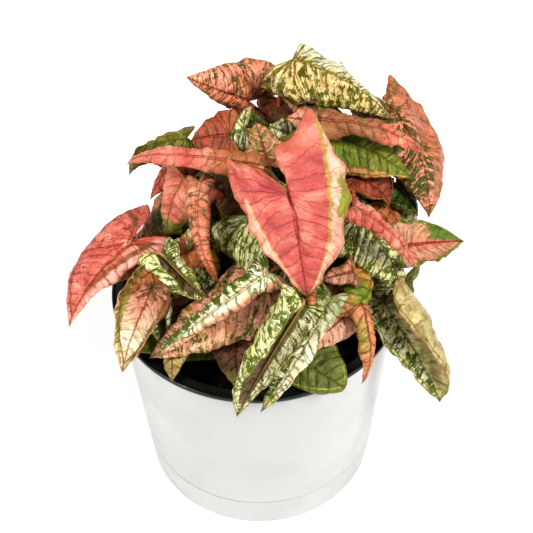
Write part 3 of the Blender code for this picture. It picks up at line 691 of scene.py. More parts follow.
# %% Leaves of the left stems
LEFT = ((-32, 6), [
    leaf("far_left", (-60, -7, 171), (-92, -35, 139), (-35, 52), "rose", "olive_brown", width=(18, 68),
        lobe=(13, 20), splay=(9, -9), fold=-6, curl=(-80, -50), bend=62, edge=2.2, ear=0.8, grid=BIG,
        look=dict(line=(134, 84, 40), lines=0.9, line_width=1.3, inset=5.0,
                  patches=[area((170, 78, 50), 0.42, across=(0.05, 0.95), along=(-0.1, 0.75))],
                  rim=(226, 132, 108), tip=(150, 96, 50),
                  areas=[area((246, 188, 172), 0.8, 0.3, across=(-1.1, -0.35))])),
    leaf("brown_under", (-48, 7, 155), (-72, -11, 143), (-50, 45), "orange", "orange_under", width=36,
        lobe=8, curl=-50, bend=40),
    leaf("broad_bulge", (-33, 5, 200), (-42, -5, 172), (-40, 45), "rose", "green_under", width=56, lobe=3,
        splay=0, curl=-150, bend=60, puff=0.3,
        look=dict(ground=(240, 156, 124), veins=0.2, laces=0.1, midribs=0.25, shade=0.5,
                  areas=[area((112, 138, 50), 0.9, 0.1, along=(0.7, 1.1))])),
    leaf("pink_narrow", (-37, 25, 195), (-52, 15, 176), (-60, 30), "deep_rose", "pink_under", width=22,
        lobe=4, curl=-140, bend=40),
    inner("rear_far_left", (-42, 31, 153), (-55, 46, 132), (-135, 45), 34, "green", "olive_brown", bend=45),
    inner("left_olive", (-29, 15, 178), (-53, 8, 160), (-50, 45), 40, "olive", "olive_brown"),
    inner("left_orange", (-44, 16, 170), (-59, 8, 152), (-60, 45), 36, "orange", "orange_under", curl=-90),
    inner("orange_drape", (-24, -21, 181), (-66, -31, 156), (-35, 50), 24, "orange", "orange_under", lobe=3,
        curl=-110, bend=45, grid=(32, 56)),
])
FRONT_LEFT = ((-26, -22), [
    leaf("left_cream", (-49, -34, 165), (-65, -59, 133), (-35, 45), "cream", "purple_brown", width=(38, 36),
        lobe=(12, 10), splay=-3, curl=90, edge=4, ear=0.7, even=0.3, grid=BIG,
        look=dict(areas=[area((206, 122, 104), 0.85, 0.45, 0.3, along=(-0.1, 0.42)),
                         # Painted shade: the brown across the base darkens the ears, which curl away.
                         area((122, 84, 40), 0.85, 0.2, 0.3, along=(-0.1, 0.09)),
                         area((150, 134, 66), 0.8, 0.08, 0.1, across=(0.7, 0.86))], net=0.15,
                  patches=[area((140, 128, 50), 0.55, across=(0.62, 1.1)),
                           area((128, 112, 44), 0.58, across=(-1.1, -0.62)),
                           area((124, 80, 44), 0.5, along=(-0.1, 0.28))])),
    leaf("left_fold", (-40, -10, 157), (-45, -53, 140), (150, -40), "white_green", "purple_brown",
        width=(40, 30), lobe=4, curl=-190, edge=1.2, bend=-30,
        under_look=dict(FINISHES["cream_green"], areas=[BARE_STRIP])),
    leaf("cream_margin", (-44, -25, 179), (-22, -42, 165), (160, -40), "cream_green", "purple_brown",
        width=(44, 14), lobe=3, curl=(-200, -20), edge=1, bend=-30, loose=0,
        under_look=dict(FINISHES["cream_green"], areas=[BARE_STRIP])),
    leaf("cream_roll", (-28, -6, 177), (-20, -36, 153), (-20, 40), "cream_green", "green_under", width=34,
        lobe=6, splay=-1, curl=-160, bend=40, loose=0.1),
    leaf("low_green", (-33, -28, 136), (-63, -47, 134), (-40, 60), "green", "olive_brown", width=50, lobe=8,
        curl=-30, bend=35),
    leaf("small_beige", (-40, -48, 142), (-41, -65, 132), (-30, 40), "beige", "olive_brown", width=20,
        lobe=3, bend=20, curl=-60),
    leaf("white_ear", (-31, -24, 179), (-46, -21, 174), (-20, 50), "white_green", "green_under", width=22,
        lobe=4, curl=-80),
    inner("left_low", (-32, -24, 152), (-40, -46, 142), (-30, 45), 34, "brown", "purple_brown"),
    inner("left_rolled", (-30, -11, 158), (-39, -33, 142), (-20, 45), 26, "white_green", "green_under",
        curl=-150),
])
print(len(LEFT[1]) + len(FRONT_LEFT[1]), "leaves on the left")

# %% Leaves of the middle stems
CENTRE = ((-2, 4), [
    leaf("heart", (17, -27, 218), (23, -55, 180), (-4, 44), "rose", "pink_under", width=(62, 40),
        lobe=(23, 16), splay=(0, 12), fold=4, curl=(60, 30), bend=50, late=2.6, ear=(0.6, 0.85),
        close=(5, 5), point=(1.5, 1.3), spike=(13, 4), overlap=(26, 0), edge=4, even=0.2, grid=(72, 84),
        crumple=0.45,
        look=dict(ground=(200, 104, 96), deep=(166, 66, 76), pale=(232, 160, 142), midribs=0.55,
                  vein_width=0.4, veins=0.12, laces=0.1, net=0.1, shade=0.5, crepe=0.8,
                  areas=[area((250, 196, 176), 0.9, 0.05, 0.16, across=(-1.1, -0.66)),
                         area((168, 150, 62), 0.8, 0.04, 0.16, across=(-0.7, -0.64)),
                         area((148, 164, 50), 0.9, 0.05, 0.35, across=(-1.1, -0.8), along=(0.08, 0.34)),
                         area((248, 190, 170), 0.85, 0.06, 0.16, across=(0.76, 1.1), along=(0.22, 1.1)),
                         area((184, 140, 82), 0.7, 0.04, 0.16, across=(0.71, 0.77), along=(0.2, 1.1))])),
    leaf("long_roll", (5, -14, 222), (-62, 20, 195), (0, 60), "rose", "pink_under", width=21, lobe=5,
        curl=-165, bend=75, late=1.6, even=0.8, loose=0, grid=(40, 96),
        look=dict(ground=(232, 136, 118), midribs=0.3, veins=0.3,
                  areas=[area((150, 104, 54), 0.85, 0.25, 0.4, along=(-0.1, 0.3))])),
    leaf("pale_point", (7, 5, 206), (1, 16, 224), (0, 30), "pale_rose", "green_under", width=28, lobe=4,
        curl=-60, bend=10, look=dict(amount=0.5, across=3.4)),
    leaf("orange_roll", (-25, -11, 212), (-17, -37, 170), (-20, 40), "rose_green", "orange_under", width=20,
        lobe=2, curl=-190, bend=50, sway=-30, grid=BIG,
        look=dict(ground=(226, 146, 116), amount=0.36, midribs=0.25, veins=0.4,
                  areas=[area((176, 104, 60), 0.8, 0.2, along=(0.8, 1.1))])),
    leaf("under_heart", (-2, -13, 191), (21, -52, 177), (-10, 42), "cream_green", "olive_brown", width=50,
        lobe=10, curl=(-60, -50), look=dict(splash=(112, 134, 22), amount=0.52)),
    leaf("white_diagonal", (6, -48, 190), (-48, -57, 142), (-20, 45), "white", "pink_under", width=25,
        lobe=4, curl=-180, bend=35, loose=0, grid=(40, 80),
        look=dict(areas=[area((232, 150, 124), 0.8, 0.2, across=(-1.1, -0.3))])),
    inner("green_mid", (3, 5, 169), (-17, -9, 154), (-20, 50), 44, "dark_green", "olive_brown", lobe=10),
    inner("brown_mid", (-4, -5, 190), (-22, 5, 191), (-20, 40), 34, "brown", "purple_brown", lobe=6,
        curl=-60, bend=20),
    inner("middle_cream", (-11, -7, 172), (3, -28, 154), (-10, 45), 30, "cream_green", "olive_brown",
        curl=-140),
    inner("middle_olive", (3, 8, 184), (-13, -5, 170), (-20, 45), 30, "olive", "olive_brown", curl=-120),
])
FRONT = ((-2, -28), [
    leaf("pink_low", (6, -40, 170), (-52, -55, 138), (-20, 45), "pale_rose", "olive_brown", width=50, lobe=8,
        curl=-90, bend=35, grid=BIG,
        look=dict(ground=(246, 184, 152), splash=(96, 108, 20), amount=0.48, flecks=0.3)),
    leaf("brown_front", (-10, -39, 149), (-9, -71, 132), (-10, 40), "brown", "purple_brown", width=46,
        lobe=6, curl=-70, bend=40,
        look=dict(areas=[area((226, 140, 112), 0.9, 0.1, across=(-1.1, -0.72), along=(-0.1, 0.8)),
                         area((128, 120, 56), 0.8, 0.1, along=(0.75, 1.1))])),
    leaf("front_fold", (21, -58, 178), (-10, -84, 130), (165, -45), "cream_green", "purple_brown",
        width=(64, 20), lobe=4, curl=(-200, -30), edge=1, bend=-40, loose=0, grid=BIG,
        under_look=dict(FINISHES["white_green"], areas=[BARE_STRIP])),
    leaf("front_white", (34, -51, 176), (1, -81, 129), (20, 40), "white", "olive_brown", width=32, lobe=5,
        splay=0, curl=-150, bend=35, loose=0.1, grid=(40, 80),
        look=dict(areas=[area((116, 138, 60), 0.6, 0.2, 0.9, along=(-0.1, 0.25)),
                         area((190, 176, 90), 0.7, 0.1, along=(0.82, 1.2))])),
    inner("low_centre", (22, -23, 165), (2, -43, 149), (-10, 50), 44, "dark_green", "olive_brown", lobe=10),
    inner("dry_loop", (21, -54, 179), (25, -56, 172), (0, 30), 12, "orange", "orange_under", lobe=2,
        curl=-120, bend=160),
    inner("pink_rolled", (21, -37, 158), (35, -49, 142), (10, 45), 28, "pale_rose", "olive_brown",
        curl=-150),
])
print(len(CENTRE[1]) + len(FRONT[1]), "leaves in the middle")

# %% Leaves of the right stems
FRONT_RIGHT = ((22, -18), [
    leaf("pink_sweep", (47, -40, 156), (20, -61, 148), (10, 50), "pale_rose", "olive_brown", width=36,
        lobe=6, curl=(-150, -40), grid=(40, 56), look=dict(amount=0.4)),
    leaf("rim_leaf", (12, -54, 141), (41, -71, 133), (-10, 60), "dull_green", "olive_brown", width=(46, 30),
        lobe=6, curl=-25, bend=20, blunt=0.55, grid=(48, 56)),
    leaf("orange_hang", (49, -45, 163), (49, -69, 134), (40, 30), "orange", "orange_under", width=20, lobe=4,
        splay=0, curl=-150, bend=75,
        look=dict(ground=(220, 144, 108),
                  areas=[area((186, 176, 96), 0.7, 0.2, 0.3, across=(0.1, 0.8), along=(0.2, 0.55))])),
    leaf("horn", (54, -29, 167), (34, -46, 157), (80, 25), "green", "orange_under", width=44, lobe=3,
        curl=-165, bend=130, late=1, even=0.4, loose=0, grid=(40, 72),
        look=dict(ground=(146, 160, 44), amount=0.1,
                  areas=[area((214, 142, 70), 0.9, 0.2, along=(-0.1, 0.25)),
                         area((226, 146, 110), 0.9, 0.25, 0.6, along=(0.6, 1.1))])),
    leaf("pink_stub", (45, -39, 180), (30, -41, 176), (20, 60), "pale_rose", "pink_under", width=22, lobe=1,
        curl=-180, bend=20, loose=0, even=0.3),
    inner("right_low", (38, -17, 163), (48, -31, 147), (30, 50), 34, "dark_green", "olive_brown", lobe=9),
    inner("front_brown", (38, -30, 149), (22, -47, 139), (10, 45), 36, "brown", "purple_brown"),
    inner("small_olive", (50, -15, 166), (46, -22, 161), (20, 40), 18, "olive", "olive_brown", lobe=4,
        curl=-90, bend=20),
])
RIGHT = ((36, 6), [
    leaf("droop_roll", (44, -26, 209), (74, -33, 174), (50, 50), "deep_rose", "orange_under", width=17,
        lobe=3, curl=-190, bend=65, even=1, grid=(40, 72),
        look=dict(areas=[area((240, 168, 138), 0.9, 0.1, along=(0.85, 1.1))])),
    leaf("orange_slip", (64, 5, 180), (73, -11, 166), (60, 30), "orange", "orange_under", width=20, lobe=4,
        curl=-140),
    leaf("peach_leaf", (47, 0, 178), (46, -23, 166), (30, 35), "peach", "olive_brown", width=30, lobe=5,
        bend=20),
    leaf("pale_slip", (78, 13, 171), (76, -4, 161), (60, 20), "pale_green", "green_under", width=26, lobe=4,
        curl=-60, bend=15),
    leaf("far_right", (71, -18, 174), (104, 0, 158), (30, 60), "pale_rose", "olive_brown", width=(25, 29),
        lobe=8, fold=15, curl=(40, 50), bend=20, rim_curl=5, buckle=0.5, blunt=1.15, grid=(40, 56),
        look=dict(ground=(226, 166, 136), deep=(206, 134, 108), splash=(132, 112, 44), amount=0.36,
                  across=1.8, along=0.2, line=(100, 128, 34), lines=0.9, inset=1.2, rim=(96, 124, 30),
                  rims=0.8, rim_width=0.7,
                  areas=[area((88, 132, 28), 0.95, 0.08, 0.2, across=(-0.95, -0.1), along=(0.42, 1.1)),
                         area((236, 136, 124), 0.75, 0.15, across=(-0.16, 0.3))])),
    leaf("cream_leaf", (48, -15, 190), (69, -33, 154), (40, 40), "cream_green", "green_under",
        width=(40, 46), lobe=10, splay=-1, curl=(-90, -60), bend=50, sway=20, grid=(48, 60),
        look=dict(areas=[area((240, 236, 208), 0.85, 0.1, across=(-1.1, -0.6))])),
    leaf("pale_crinkle", (63, -2, 172), (68, -3, 147), (60, 30), "pale_green", "green_under", width=26,
        lobe=6, curl=-80, bend=20, puff=0.7),
    leaf("rim_dark", (71, -6, 146), (73, -19, 134), (80, 30), "dark_green", "green_under", width=20, lobe=4,
        curl=-40, bend=20),
    leaf("lower_right", (62, -30, 147), (91, -56, 100), (15, 52), "white_green", "beige_under",
        width=(80, 29), lobe=(6, 8), splay=-1, curl=(185, 15), edge=1, bend=45, loose=0, even=0.45,
        grid=(72, 72),
        look=dict(veins=0.35, laces=0.5, midribs=0.4, amount=0.5, flecks=0.4,
                  areas=[area((196, 184, 132), 0.92, 0.04, 0.1, across=(-1.1, -0.03)),
                         area((138, 112, 66), 0.65, 0.15, 0.7, across=(-0.4, -0.1), along=(-0.1, 0.8))])),
    inner("rear_far_right", (56, 24, 150), (68, 32, 131), (115, 45), 32, "green", "olive_brown", bend=45),
    inner("olive_chip", (54, -31, 138), (60, -29, 145), (40, 60), 16, "olive", "olive_brown", lobe=3,
        bend=10),
    inner("right_deep", (59, 17, 178), (56, -2, 159), (40, 40), 36, "dark_green", "olive_brown"),
    inner("behind_right", (69, 15, 184), (79, 0, 176), (50, 40), 26, "dark_green", "olive_brown", lobe=6,
        bend=20),
    inner("right_cream", (65, -19, 150), (56, -35, 138), (30, 50), 28, "cream_green", "green_under",
        curl=-120),
    inner("right_olive", (73, -15, 148), (68, -26, 135), (50, 45), 26, "olive", "olive_brown", curl=-100),
    inner("right_rolled", (46, -9, 172), (56, -24, 152), (40, 45), 30, "cream_green", "olive_brown",
        curl=-140),
])
STEMS = dict(back_left=BACK_LEFT, back_right=BACK_RIGHT, left=LEFT, front_left=FRONT_LEFT,
             centre=CENTRE, front=FRONT, front_right=FRONT_RIGHT, right=RIGHT)
print(sum(len(leaves) for _, leaves in STEMS.values()), "leaves in all")

# %% [markdown]
# The midrib is walked in small steps that each turn the blade a little, and the walk is then turned
# and scaled so that it runs from seat to tip. Every step keeps a frame of three directions: to the
# side, along, and up out of the upper face.

# %% Midrib of a leaf
MIDRIB_STEPS = 40
FACING_AT = 0.4  # where along the midrib a leaf's upper side faces the way its table says


def unit(vector):
    vector = np.asarray(vector, float)
    return vector / np.linalg.norm(vector)


def compass(azimuth, elevation):
    """Unit vector; azimuth 0 is the front and 90 the right-hand side."""
    a, e = np.radians((azimuth, elevation))
    return np.array((np.sin(a) * np.cos(e), -np.cos(a) * np.cos(e), np.sin(e)))


def turn(axis, angle):
    """Rotation matrix about a unit axis."""
    x, y, z = axis
    skew = np.array(((0, -z, y), (z, 0, -x), (-y, x, 0)))
    return np.eye(3) + np.sin(angle) * skew + (1 - np.cos(angle)) * (skew @ skew)


def midrib(shape):
    """Points and frames along a blade's midrib, and its length."""
    steps = np.linspace(0, 1, MIDRIB_STEPS + 1)
    arch = np.diff(steps ** shape["late"]) * np.radians(-shape["bend"])
    rib_frame, point = np.eye(3), np.zeros(3)
    points, frames = [point], [rib_frame]
    for bend, share in zip(arch, np.diff(steps)):
        sideways = turn(rib_frame[:, 2], np.radians(-shape["sway"]) * share)
        onward = turn(rib_frame[:, 0], bend) @ sideways @ rib_frame
        point = point + (rib_frame[:, 1] + onward[:, 1]) * share / 2
        rib_frame = onward
        points.append(point)
        frames.append(rib_frame)
    points, frames = np.array(points), np.array(frames)
    seat, tip = np.array(shape["seat"], float), np.array(shape["tip"], float)
    span = unit(points[-1])
    up = frames[int(FACING_AT * MIDRIB_STEPS)][:, 2]
    up = unit(up - span * (up @ span))
    chord = unit(tip - seat)
    outward = compass(*shape["faces"])
    outward = unit(outward - chord * (outward @ chord))
    place = np.stack((chord, outward, np.cross(chord, outward)), 1)
    place = place @ np.stack((span, up, np.cross(span, up)), 1).T
    length = np.linalg.norm(tip - seat) / np.linalg.norm(points[-1])
    return seat + (points @ place.T) * length, place @ frames, length


def taper(along):
    """Half width of the outline at a place along the blade, as a share of the leaf's width."""
    return (1 - along ** 1.6) ** 1.25 * (0.9 + 0.45 * along)


print("half width from base to tip:", [round(taper(along), 2) for along in (0, 0.25, 0.5, 0.75, 1)])

# %% [markdown]
# Across the blade, each half is a strip that curls more and more toward its margin. Adding up the
# directions of short pieces of the strip gives its bent shape. The same function gives back where
# the point lay before the blade was bent, which the maps for the veins need.

# %% Surface of a leaf
TIGHTEST_ROLL = 2.0  # radius of the tightest rolled margin, in millimetres
SECTION_STEPS = 24
WIDEST = 0.93  # what taper gives where a blade is widest
EAR_FADE = 2.5  # how soon an ear's shape fades toward the tip
SPIKE_WIDTH = 0.13
SPIKE_FADE = 6
OVERLAP_LIFT = 0.12  # how far a corner over the notch rises, as a share of its reach


def blade_places(shape, u, t):
    """Places of a blade's middle surface, and the unrolled place: across, along, to the margin (mm)."""
    ribs, frames, length = midrib(shape)
    side = np.abs(u)

    def half_value(name):
        """The value for the half of the leaf that each point lies on."""
        left, right = np.broadcast_to(shape[name], 2)
        return np.where(u > 0, right, left)

    half = half_value("width") / 2 * taper(t) ** shape["blunt"]
    ear = half_value("ear")
    inside = 1 - (1 - np.minimum(side, ear) / ear) ** half_value("close")
    beyond = 1 - (np.maximum(side - ear, 0) / (1 - ear)) ** half_value("point")
    ears = inside * beyond * (1 - t) ** EAR_FADE
    spread = half_value("splay") * inside * (0.75 + 0.25 * beyond) * (1 - t) ** EAR_FADE
    corner = inside ** 3 * (1 - side) ** 2 * (1 - t) ** EAR_FADE
    spread = spread - half_value("overlap") * corner
    spike = half_value("spike") * np.exp(-((side - ear) / SPIKE_WIDTH) ** 2) * (1 - t) ** SPIKE_FADE
    back = length * t - half_value("lobe") * ears - spike
    fold, curl, edge = np.radians(half_value("fold")), np.radians(half_value("curl")), half_value("edge")
    curl = curl * (taper(t) / WIDEST) ** shape["even"] * (1 - shape["loose"] * (1 - t) ** 4)
    curl = np.sign(curl) * np.minimum(np.abs(curl), np.maximum(half, 0.01) / TIGHTEST_ROLL)
    out, up = np.zeros_like(side), np.zeros_like(side)
    hem = np.sign(curl) * np.radians(shape["rim_curl"])

    def slant(place):
        """Angle of the section at a share of the way to the margin."""
        return fold + curl * place ** edge + hem * place ** 9

    for number in range(SECTION_STEPS):
        angle = slant(side * (number + 0.5) / SECTION_STEPS)
        out += np.cos(angle) * side / SECTION_STEPS
        up += np.sin(angle) * side / SECTION_STEPS
    angle = slant(side)
    phase = np.where(u > 0, 0.0, 1.9)
    ripple = shape["wave"] * side ** 2 * np.sin(2 * np.pi * shape["waves"] * t + phase) * (1 - t)
    out = (out * half + spread - np.sin(angle) * ripple) * np.sign(u)
    up = up * half + np.cos(angle) * ripple + OVERLAP_LIFT * half_value("overlap") * corner
    spot = np.clip(back / length, 0, 1) * MIDRIB_STEPS
    low = np.minimum(spot.astype(int), MIDRIB_STEPS - 1)
    share = (spot - low)[..., None]
    rib = ribs[low] * (1 - share) + ribs[low + 1] * share
    rib_frame = frames[low] * (1 - share[..., None]) + frames[low + 1] * share[..., None]
    rib = rib + rib_frame[..., 1] * np.minimum(back, 0)[..., None]
    places = rib + rib_frame[..., 0] * out[..., None] + rib_frame[..., 2] * up[..., None]
    to_margin = np.minimum(half - side * half, length * t + 0.02)
    return places, side * half, back, to_margin, length


heart = CENTRE[1][0]
heart_margins = blade_places(heart, np.array((-1.0, 1.0)), np.array((0.3, 0.3)))[0]
print("margins of the", heart["name"], "in mm:", heart_margins.round(1).tolist())

# %% [markdown]
# Side veins leave the midrib every few millimetres. Counting them as a number that grows from base
# to tip lets one map drive the drawn veins and the puffs of the mesh alike. Behind the seat, where
# the ears are, the veins fan out from the seat instead.

# %% Veins and wrinkles in numbers
FAN = 0.42  # angle between two veins of an ear, in radians
LEAN_OUT = 0.5  # how far a side vein leans toward the tip, per millimetre from the midrib
BEND_ON = 0.012  # how much more it leans, per millimetre squared
SLANT = 0.88  # how much closer slanting veins lie than their feet on the midrib
OFFSET = 0.45  # of a step, between the veins of the two halves
WANDER = 0.16  # of a step, by which a vein strays
GROOVE = 0.45  # depth of the trough over the midrib, in millimetres
GROOVE_WIDTH = 1.1
FINE, FRILL, CREASE, STRAY, BUCKLE = 4.5, 8.5, 11.0, 14.0, 22.0  # sizes of the ripples, in millimetres


def vein_spacing(length):
    """Millimetres along the midrib from one side vein to the next."""
    return 3.2 + 0.05 * length


def ripples(across, along, seed, size):
    """Smooth seeded noise over a flat place, mostly -1 to 1: a sum of ten waves of about one size."""
    rng = np.random.default_rng(seed)
    total = np.zeros_like(across)
    for _ in range(10):
        heading, start = rng.uniform(0, 2 * np.pi, 2)
        wave = 2 * np.pi / (size * rng.uniform(0.7, 1.5))
        total += np.sin((across * np.cos(heading) + along * np.sin(heading)) * wave + start)
    return total / 3.2


def vein_count(across, along, length, right, seed):
    """Number of side veins passed, and the millimetres from one to the next."""
    spacing = vein_spacing(length)
    lean = LEAN_OUT * across + BEND_ON * across ** 2
    ahead = along - lean
    fan = np.arctan2(along, across) - np.arctan2(lean, across + 1e-6)
    count = np.where(ahead > 0, ahead / spacing, fan / FAN)
    gap = np.where(ahead > 0, spacing * SLANT, np.maximum(np.hypot(across, along) * FAN, 0.6))
    count = count + WANDER * ripples(across, along, seed + 500, STRAY) + np.where(right, 0.0, OFFSET)
    return count, gap


def relief(shape, u, t, across, along, count, seed):
    """Millimetres by which the skin stands out of the smooth blade."""
    side = np.abs(u)
    open_skin = np.clip(across / 3.0, 0, 1) * np.clip((1 - side) / 0.12, 0, 1)
    puffs = shape["puff"] * np.sin(np.pi * count) ** 2 * open_skin
    groove = -GROOVE * np.exp(-(across / GROOVE_WIDTH) ** 2)
    fine = 0.6 * ripples(across, along, seed + 1, FINE)
    creases = shape["crumple"] * (ripples(across, along, seed, CREASE) + fine)
    buckles = shape["buckle"] * ripples(across, along, seed + 2, BUCKLE) * np.clip(across / 8.0, 0.2, 1)
    frill = side ** 5 * 0.7 * ripples(across * 0.2, along, seed + 3, FRILL)
    return (puffs + groove + (creases + buckles) + frill) * np.sqrt(np.maximum(1 - t, 0))


print("a side vein every", round(vein_spacing(45), 1), "mm on a 45 mm leaf")

# %% [markdown]
# Now one leaf is made from a primitive grid. The maps are written corner by corner, because the vein
# number differs on the two sides of the midrib. Solidify keeps the maps on both faces and gives the
# underside the second material.

# %% Make one leaf
BLADE = 0.00045
ROW_CROWDING = 1.1  # rows of the grid lie closer together toward the base
MERGE = 0.00002
FLAT_STEP = 20  # of the flat map, from one leaf's stretch to the next
FLAT_COLUMNS = 9
under_materials = {}


def only(piece):
    """Makes a piece the one selected and active object."""
    bpy.ops.object.select_all(action="DESELECT")
    piece.select_set(True)
    bpy.context.view_layer.objects.active = piece


def read_points(mesh, field="co"):
    """The places, or the normals, of a mesh's points as rows of three."""
    values = np.empty(len(mesh.vertices) * 3, np.float32)
    mesh.vertices.foreach_get(field, values)
    return values.reshape(-1, 3).astype(float)


def write_points(mesh, places):
    """Moves a mesh's points to the places."""
    mesh.vertices.foreach_set("co", places.astype(np.float32).ravel())


def make_leaf(shape, seed):
    """A leaf's blade as one piece, with its maps, its materials and its thickness."""
    across_cells, along_cells = shape["grid"]
    bpy.ops.mesh.primitive_grid_add(x_subdivisions=across_cells, y_subdivisions=along_cells, size=2)
    piece = bpy.context.object
    piece.name = "leaf_" + shape["name"]
    mesh = piece.data
    grid = read_points(mesh)
    u, t = np.clip(grid[:, 0], -1, 1), np.clip((grid[:, 1] + 1) / 2, 0, 1) ** ROW_CROWDING
    places, across, along, to_margin, length = blade_places(shape, u, t)
    write_points(mesh, places * MM)
    mesh.update()
    count, _ = vein_count(across, along, length, u > 0, seed)
    stand = relief(shape, u, t, across, along, count, seed)
    write_points(mesh, (places + read_points(mesh, "normal") * stand[:, None]) * MM)
    write_maps(mesh, u, t, across, along, to_margin, length, seed)
    only(piece)
    bpy.ops.object.mode_set(mode="EDIT")
    bpy.ops.mesh.select_all(action="SELECT")
    bpy.ops.mesh.remove_doubles(threshold=MERGE)
    bpy.ops.object.mode_set(mode="OBJECT")
    bpy.ops.object.shade_smooth()
    name = shape["name"] if shape["under_look"] else shape["under"]
    if name not in under_materials:
        look = shape["under_look"] or UNDERSIDES[name]
        under_materials[name] = leaf_material("underside_" + name, look, UNDER_SEED, raised=True)
    look = {**FINISHES[shape["upper"]], **shape["look"]}
    mesh.materials.append(leaf_material("leaf_" + shape["name"], look, seed))
    mesh.materials.append(under_materials[name])
    wall = piece.modifiers.new("thickness", "SOLIDIFY")
    wall.thickness = BLADE
    wall.offset = 0
    wall.material_offset = 1
    bpy.ops.object.modifier_apply(modifier="thickness")
    return piece


def write_maps(mesh, u, t, across, along, to_margin, length, seed):
    """Writes the four maps of the blade; each leaf has a stretch of the flat one to itself."""
    corners = np.empty(len(mesh.loops), np.int32)
    mesh.loops.foreach_get("vertex_index", corners)
    quads = corners.reshape(-1, 4)
    right = np.repeat(u[quads].mean(1) > 0, 4)
    count, gap = vein_count(across[corners], along[corners], length, right, seed)
    signed = np.sign(u[corners]) * across[corners]
    row, column = divmod(seed, FLAT_COLUMNS)
    maps = {
        "flat": (signed / 10 + FLAT_STEP * column, along[corners] / 10 + FLAT_STEP * row),
        "span": (u[corners], t[corners]),
        "veins": (count, gap),
        "edge": (across[corners], to_margin[corners]),
    }
    for label, values in maps.items():
        layer = mesh.uv_layers.new(name=label)
        layer.data.foreach_set("uv", np.stack(values, 1).astype(np.float32).ravel())


print("a blade is", round(BLADE / MM, 2), "mm thick")

# %% [markdown]
# ## Stalks
# Each leaf hangs on a stalk that rises from the stem's stub, nearly 3 mm thick at the soil and nearly
# 2 mm at the blade, and runs on under the blade as its midrib. A curve with a round bevel draws such a
# stalk from a few points, and each point's radius tapers it. The curves are then made mesh and joined
# with the stub, which is a cylinder with rounded edges.

# %% Path of a stalk
SOIL_TOP = 0.118
STUB_ABOVE = 0.012
STUB_BELOW = 0.025
STUB_RADIUS = 0.0035
STALK_OFF_AXIS = 1.8  # millimetres from the stub's axis, toward the leaf
STALK_START = 2  # millimetres above the soil, where the stub still hides it
STALK_SPREAD = 0.45  # outward lean of a stalk where it leaves the stub
STALK_SINK = 1.5  # how far a stalk runs on past the seat, in millimetres
STALK_UNDER = 1.0  # how far its axis lies below the blade there
STALK_RADIUS = 0.00125
STALK_TAPER = (1.15, 0.72)  # the radius at the soil and at the blade, as shares of that one
RIB_RADIUS = 0.42  # of the midrib at the base, in millimetres
STALK_POINTS = 22


def stalk_path(shape, root):
    """Points in millimetres from inside the stub up to the underside of the blade."""
    ribs, frames, _ = midrib(shape)
    along, up = frames[0][:, 1], frames[0][:, 2]
    end = ribs[0] + along * STALK_SINK - up * STALK_UNDER
    outward = unit((shape["seat"][0] - root[0], shape["seat"][1] - root[1]))
    start = np.array((*(root + outward * STALK_OFF_AXIS), SOIL_TOP / MM + STALK_START))
    reach = np.linalg.norm(end - start)
    leaving = unit((*(outward * STALK_SPREAD), 1)) * reach * 0.9
    arriving = unit(along + up * 0.6) * reach * 0.7
    s = np.linspace(0, 1, STALK_POINTS)[:, None]
    path = (2 * s**3 - 3 * s**2 + 1) * start + (s**3 - 2 * s**2 + s) * leaving
    return path + (3 * s**2 - 2 * s**3) * end + (s**3 - s**2) * arriving


def rib_path(shape):
    """Points under the blade, along its midrib, and the rib's radius there."""
    ribs, frames, _ = midrib(shape)
    picks = np.arange(3, MIDRIB_STEPS - 2, 3)
    radius = RIB_RADIUS * (1 - picks / MIDRIB_STEPS) ** 0.7
    return ribs[picks] - frames[picks][:, :, 2] * (0.8 + 0.75 * radius)[:, None], radius


print("points on the heart's stalk and rib:", STALK_POINTS, "and", len(rib_path(heart)[1]))

# %% Make the stalks of one stem
def make_stalks(name, root, leaves):
    """The stalks of a stem's leaves and its stub, as one piece."""
    bpy.ops.curve.primitive_nurbs_path_add()
    piece = bpy.context.object
    piece.name = "stalks_" + name
    curve = piece.data
    curve.splines.clear()
    curve.bevel_depth = STALK_RADIUS
    curve.bevel_resolution = 2
    curve.use_fill_caps = True
    for shape in leaves:
        stalk = stalk_path(shape, root)
        under, radius = rib_path(shape)
        path = np.vstack([stalk, under]) * MM
        thickness = np.concatenate([np.linspace(*STALK_TAPER, len(stalk)), radius * MM / STALK_RADIUS])
        spline = curve.splines.new("POLY")
        spline.points.add(len(path) - 1)
        for point, place, size in zip(spline.points, path, thickness):
            point.co = (*place, 1)
            point.radius = size
    only(piece)
    bpy.ops.object.convert(target="MESH")
    bpy.ops.mesh.primitive_cylinder_add(
        vertices=24, radius=STUB_RADIUS, depth=STUB_ABOVE + STUB_BELOW,
        location=(root[0] * MM, root[1] * MM, SOIL_TOP + (STUB_ABOVE - STUB_BELOW) / 2))
    stub = bpy.context.object
    bpy.ops.object.mode_set(mode="EDIT")
    bpy.ops.mesh.select_all(action="SELECT")
    bpy.ops.mesh.bevel(offset=0.0008, segments=2, affect="EDGES")
    bpy.ops.object.mode_set(mode="OBJECT")
    bpy.ops.object.select_all(action="DESELECT")
    stub.select_set(True)
    piece.select_set(True)
    bpy.context.view_layer.objects.active = piece
    bpy.ops.object.join()
    bpy.ops.object.transform_apply(location=True, rotation=True, scale=True)
    bpy.ops.object.shade_smooth()
    return piece


print("stalks to make:", {stem: len(leaves) for stem, (_, leaves) in STEMS.items()})

# %% [markdown]
# A stalk is pale pinkish green, greener toward the soil, with fine fibres along it. The fibres are
# noise drawn out along the vertical, which is near enough the stalk's own direction.

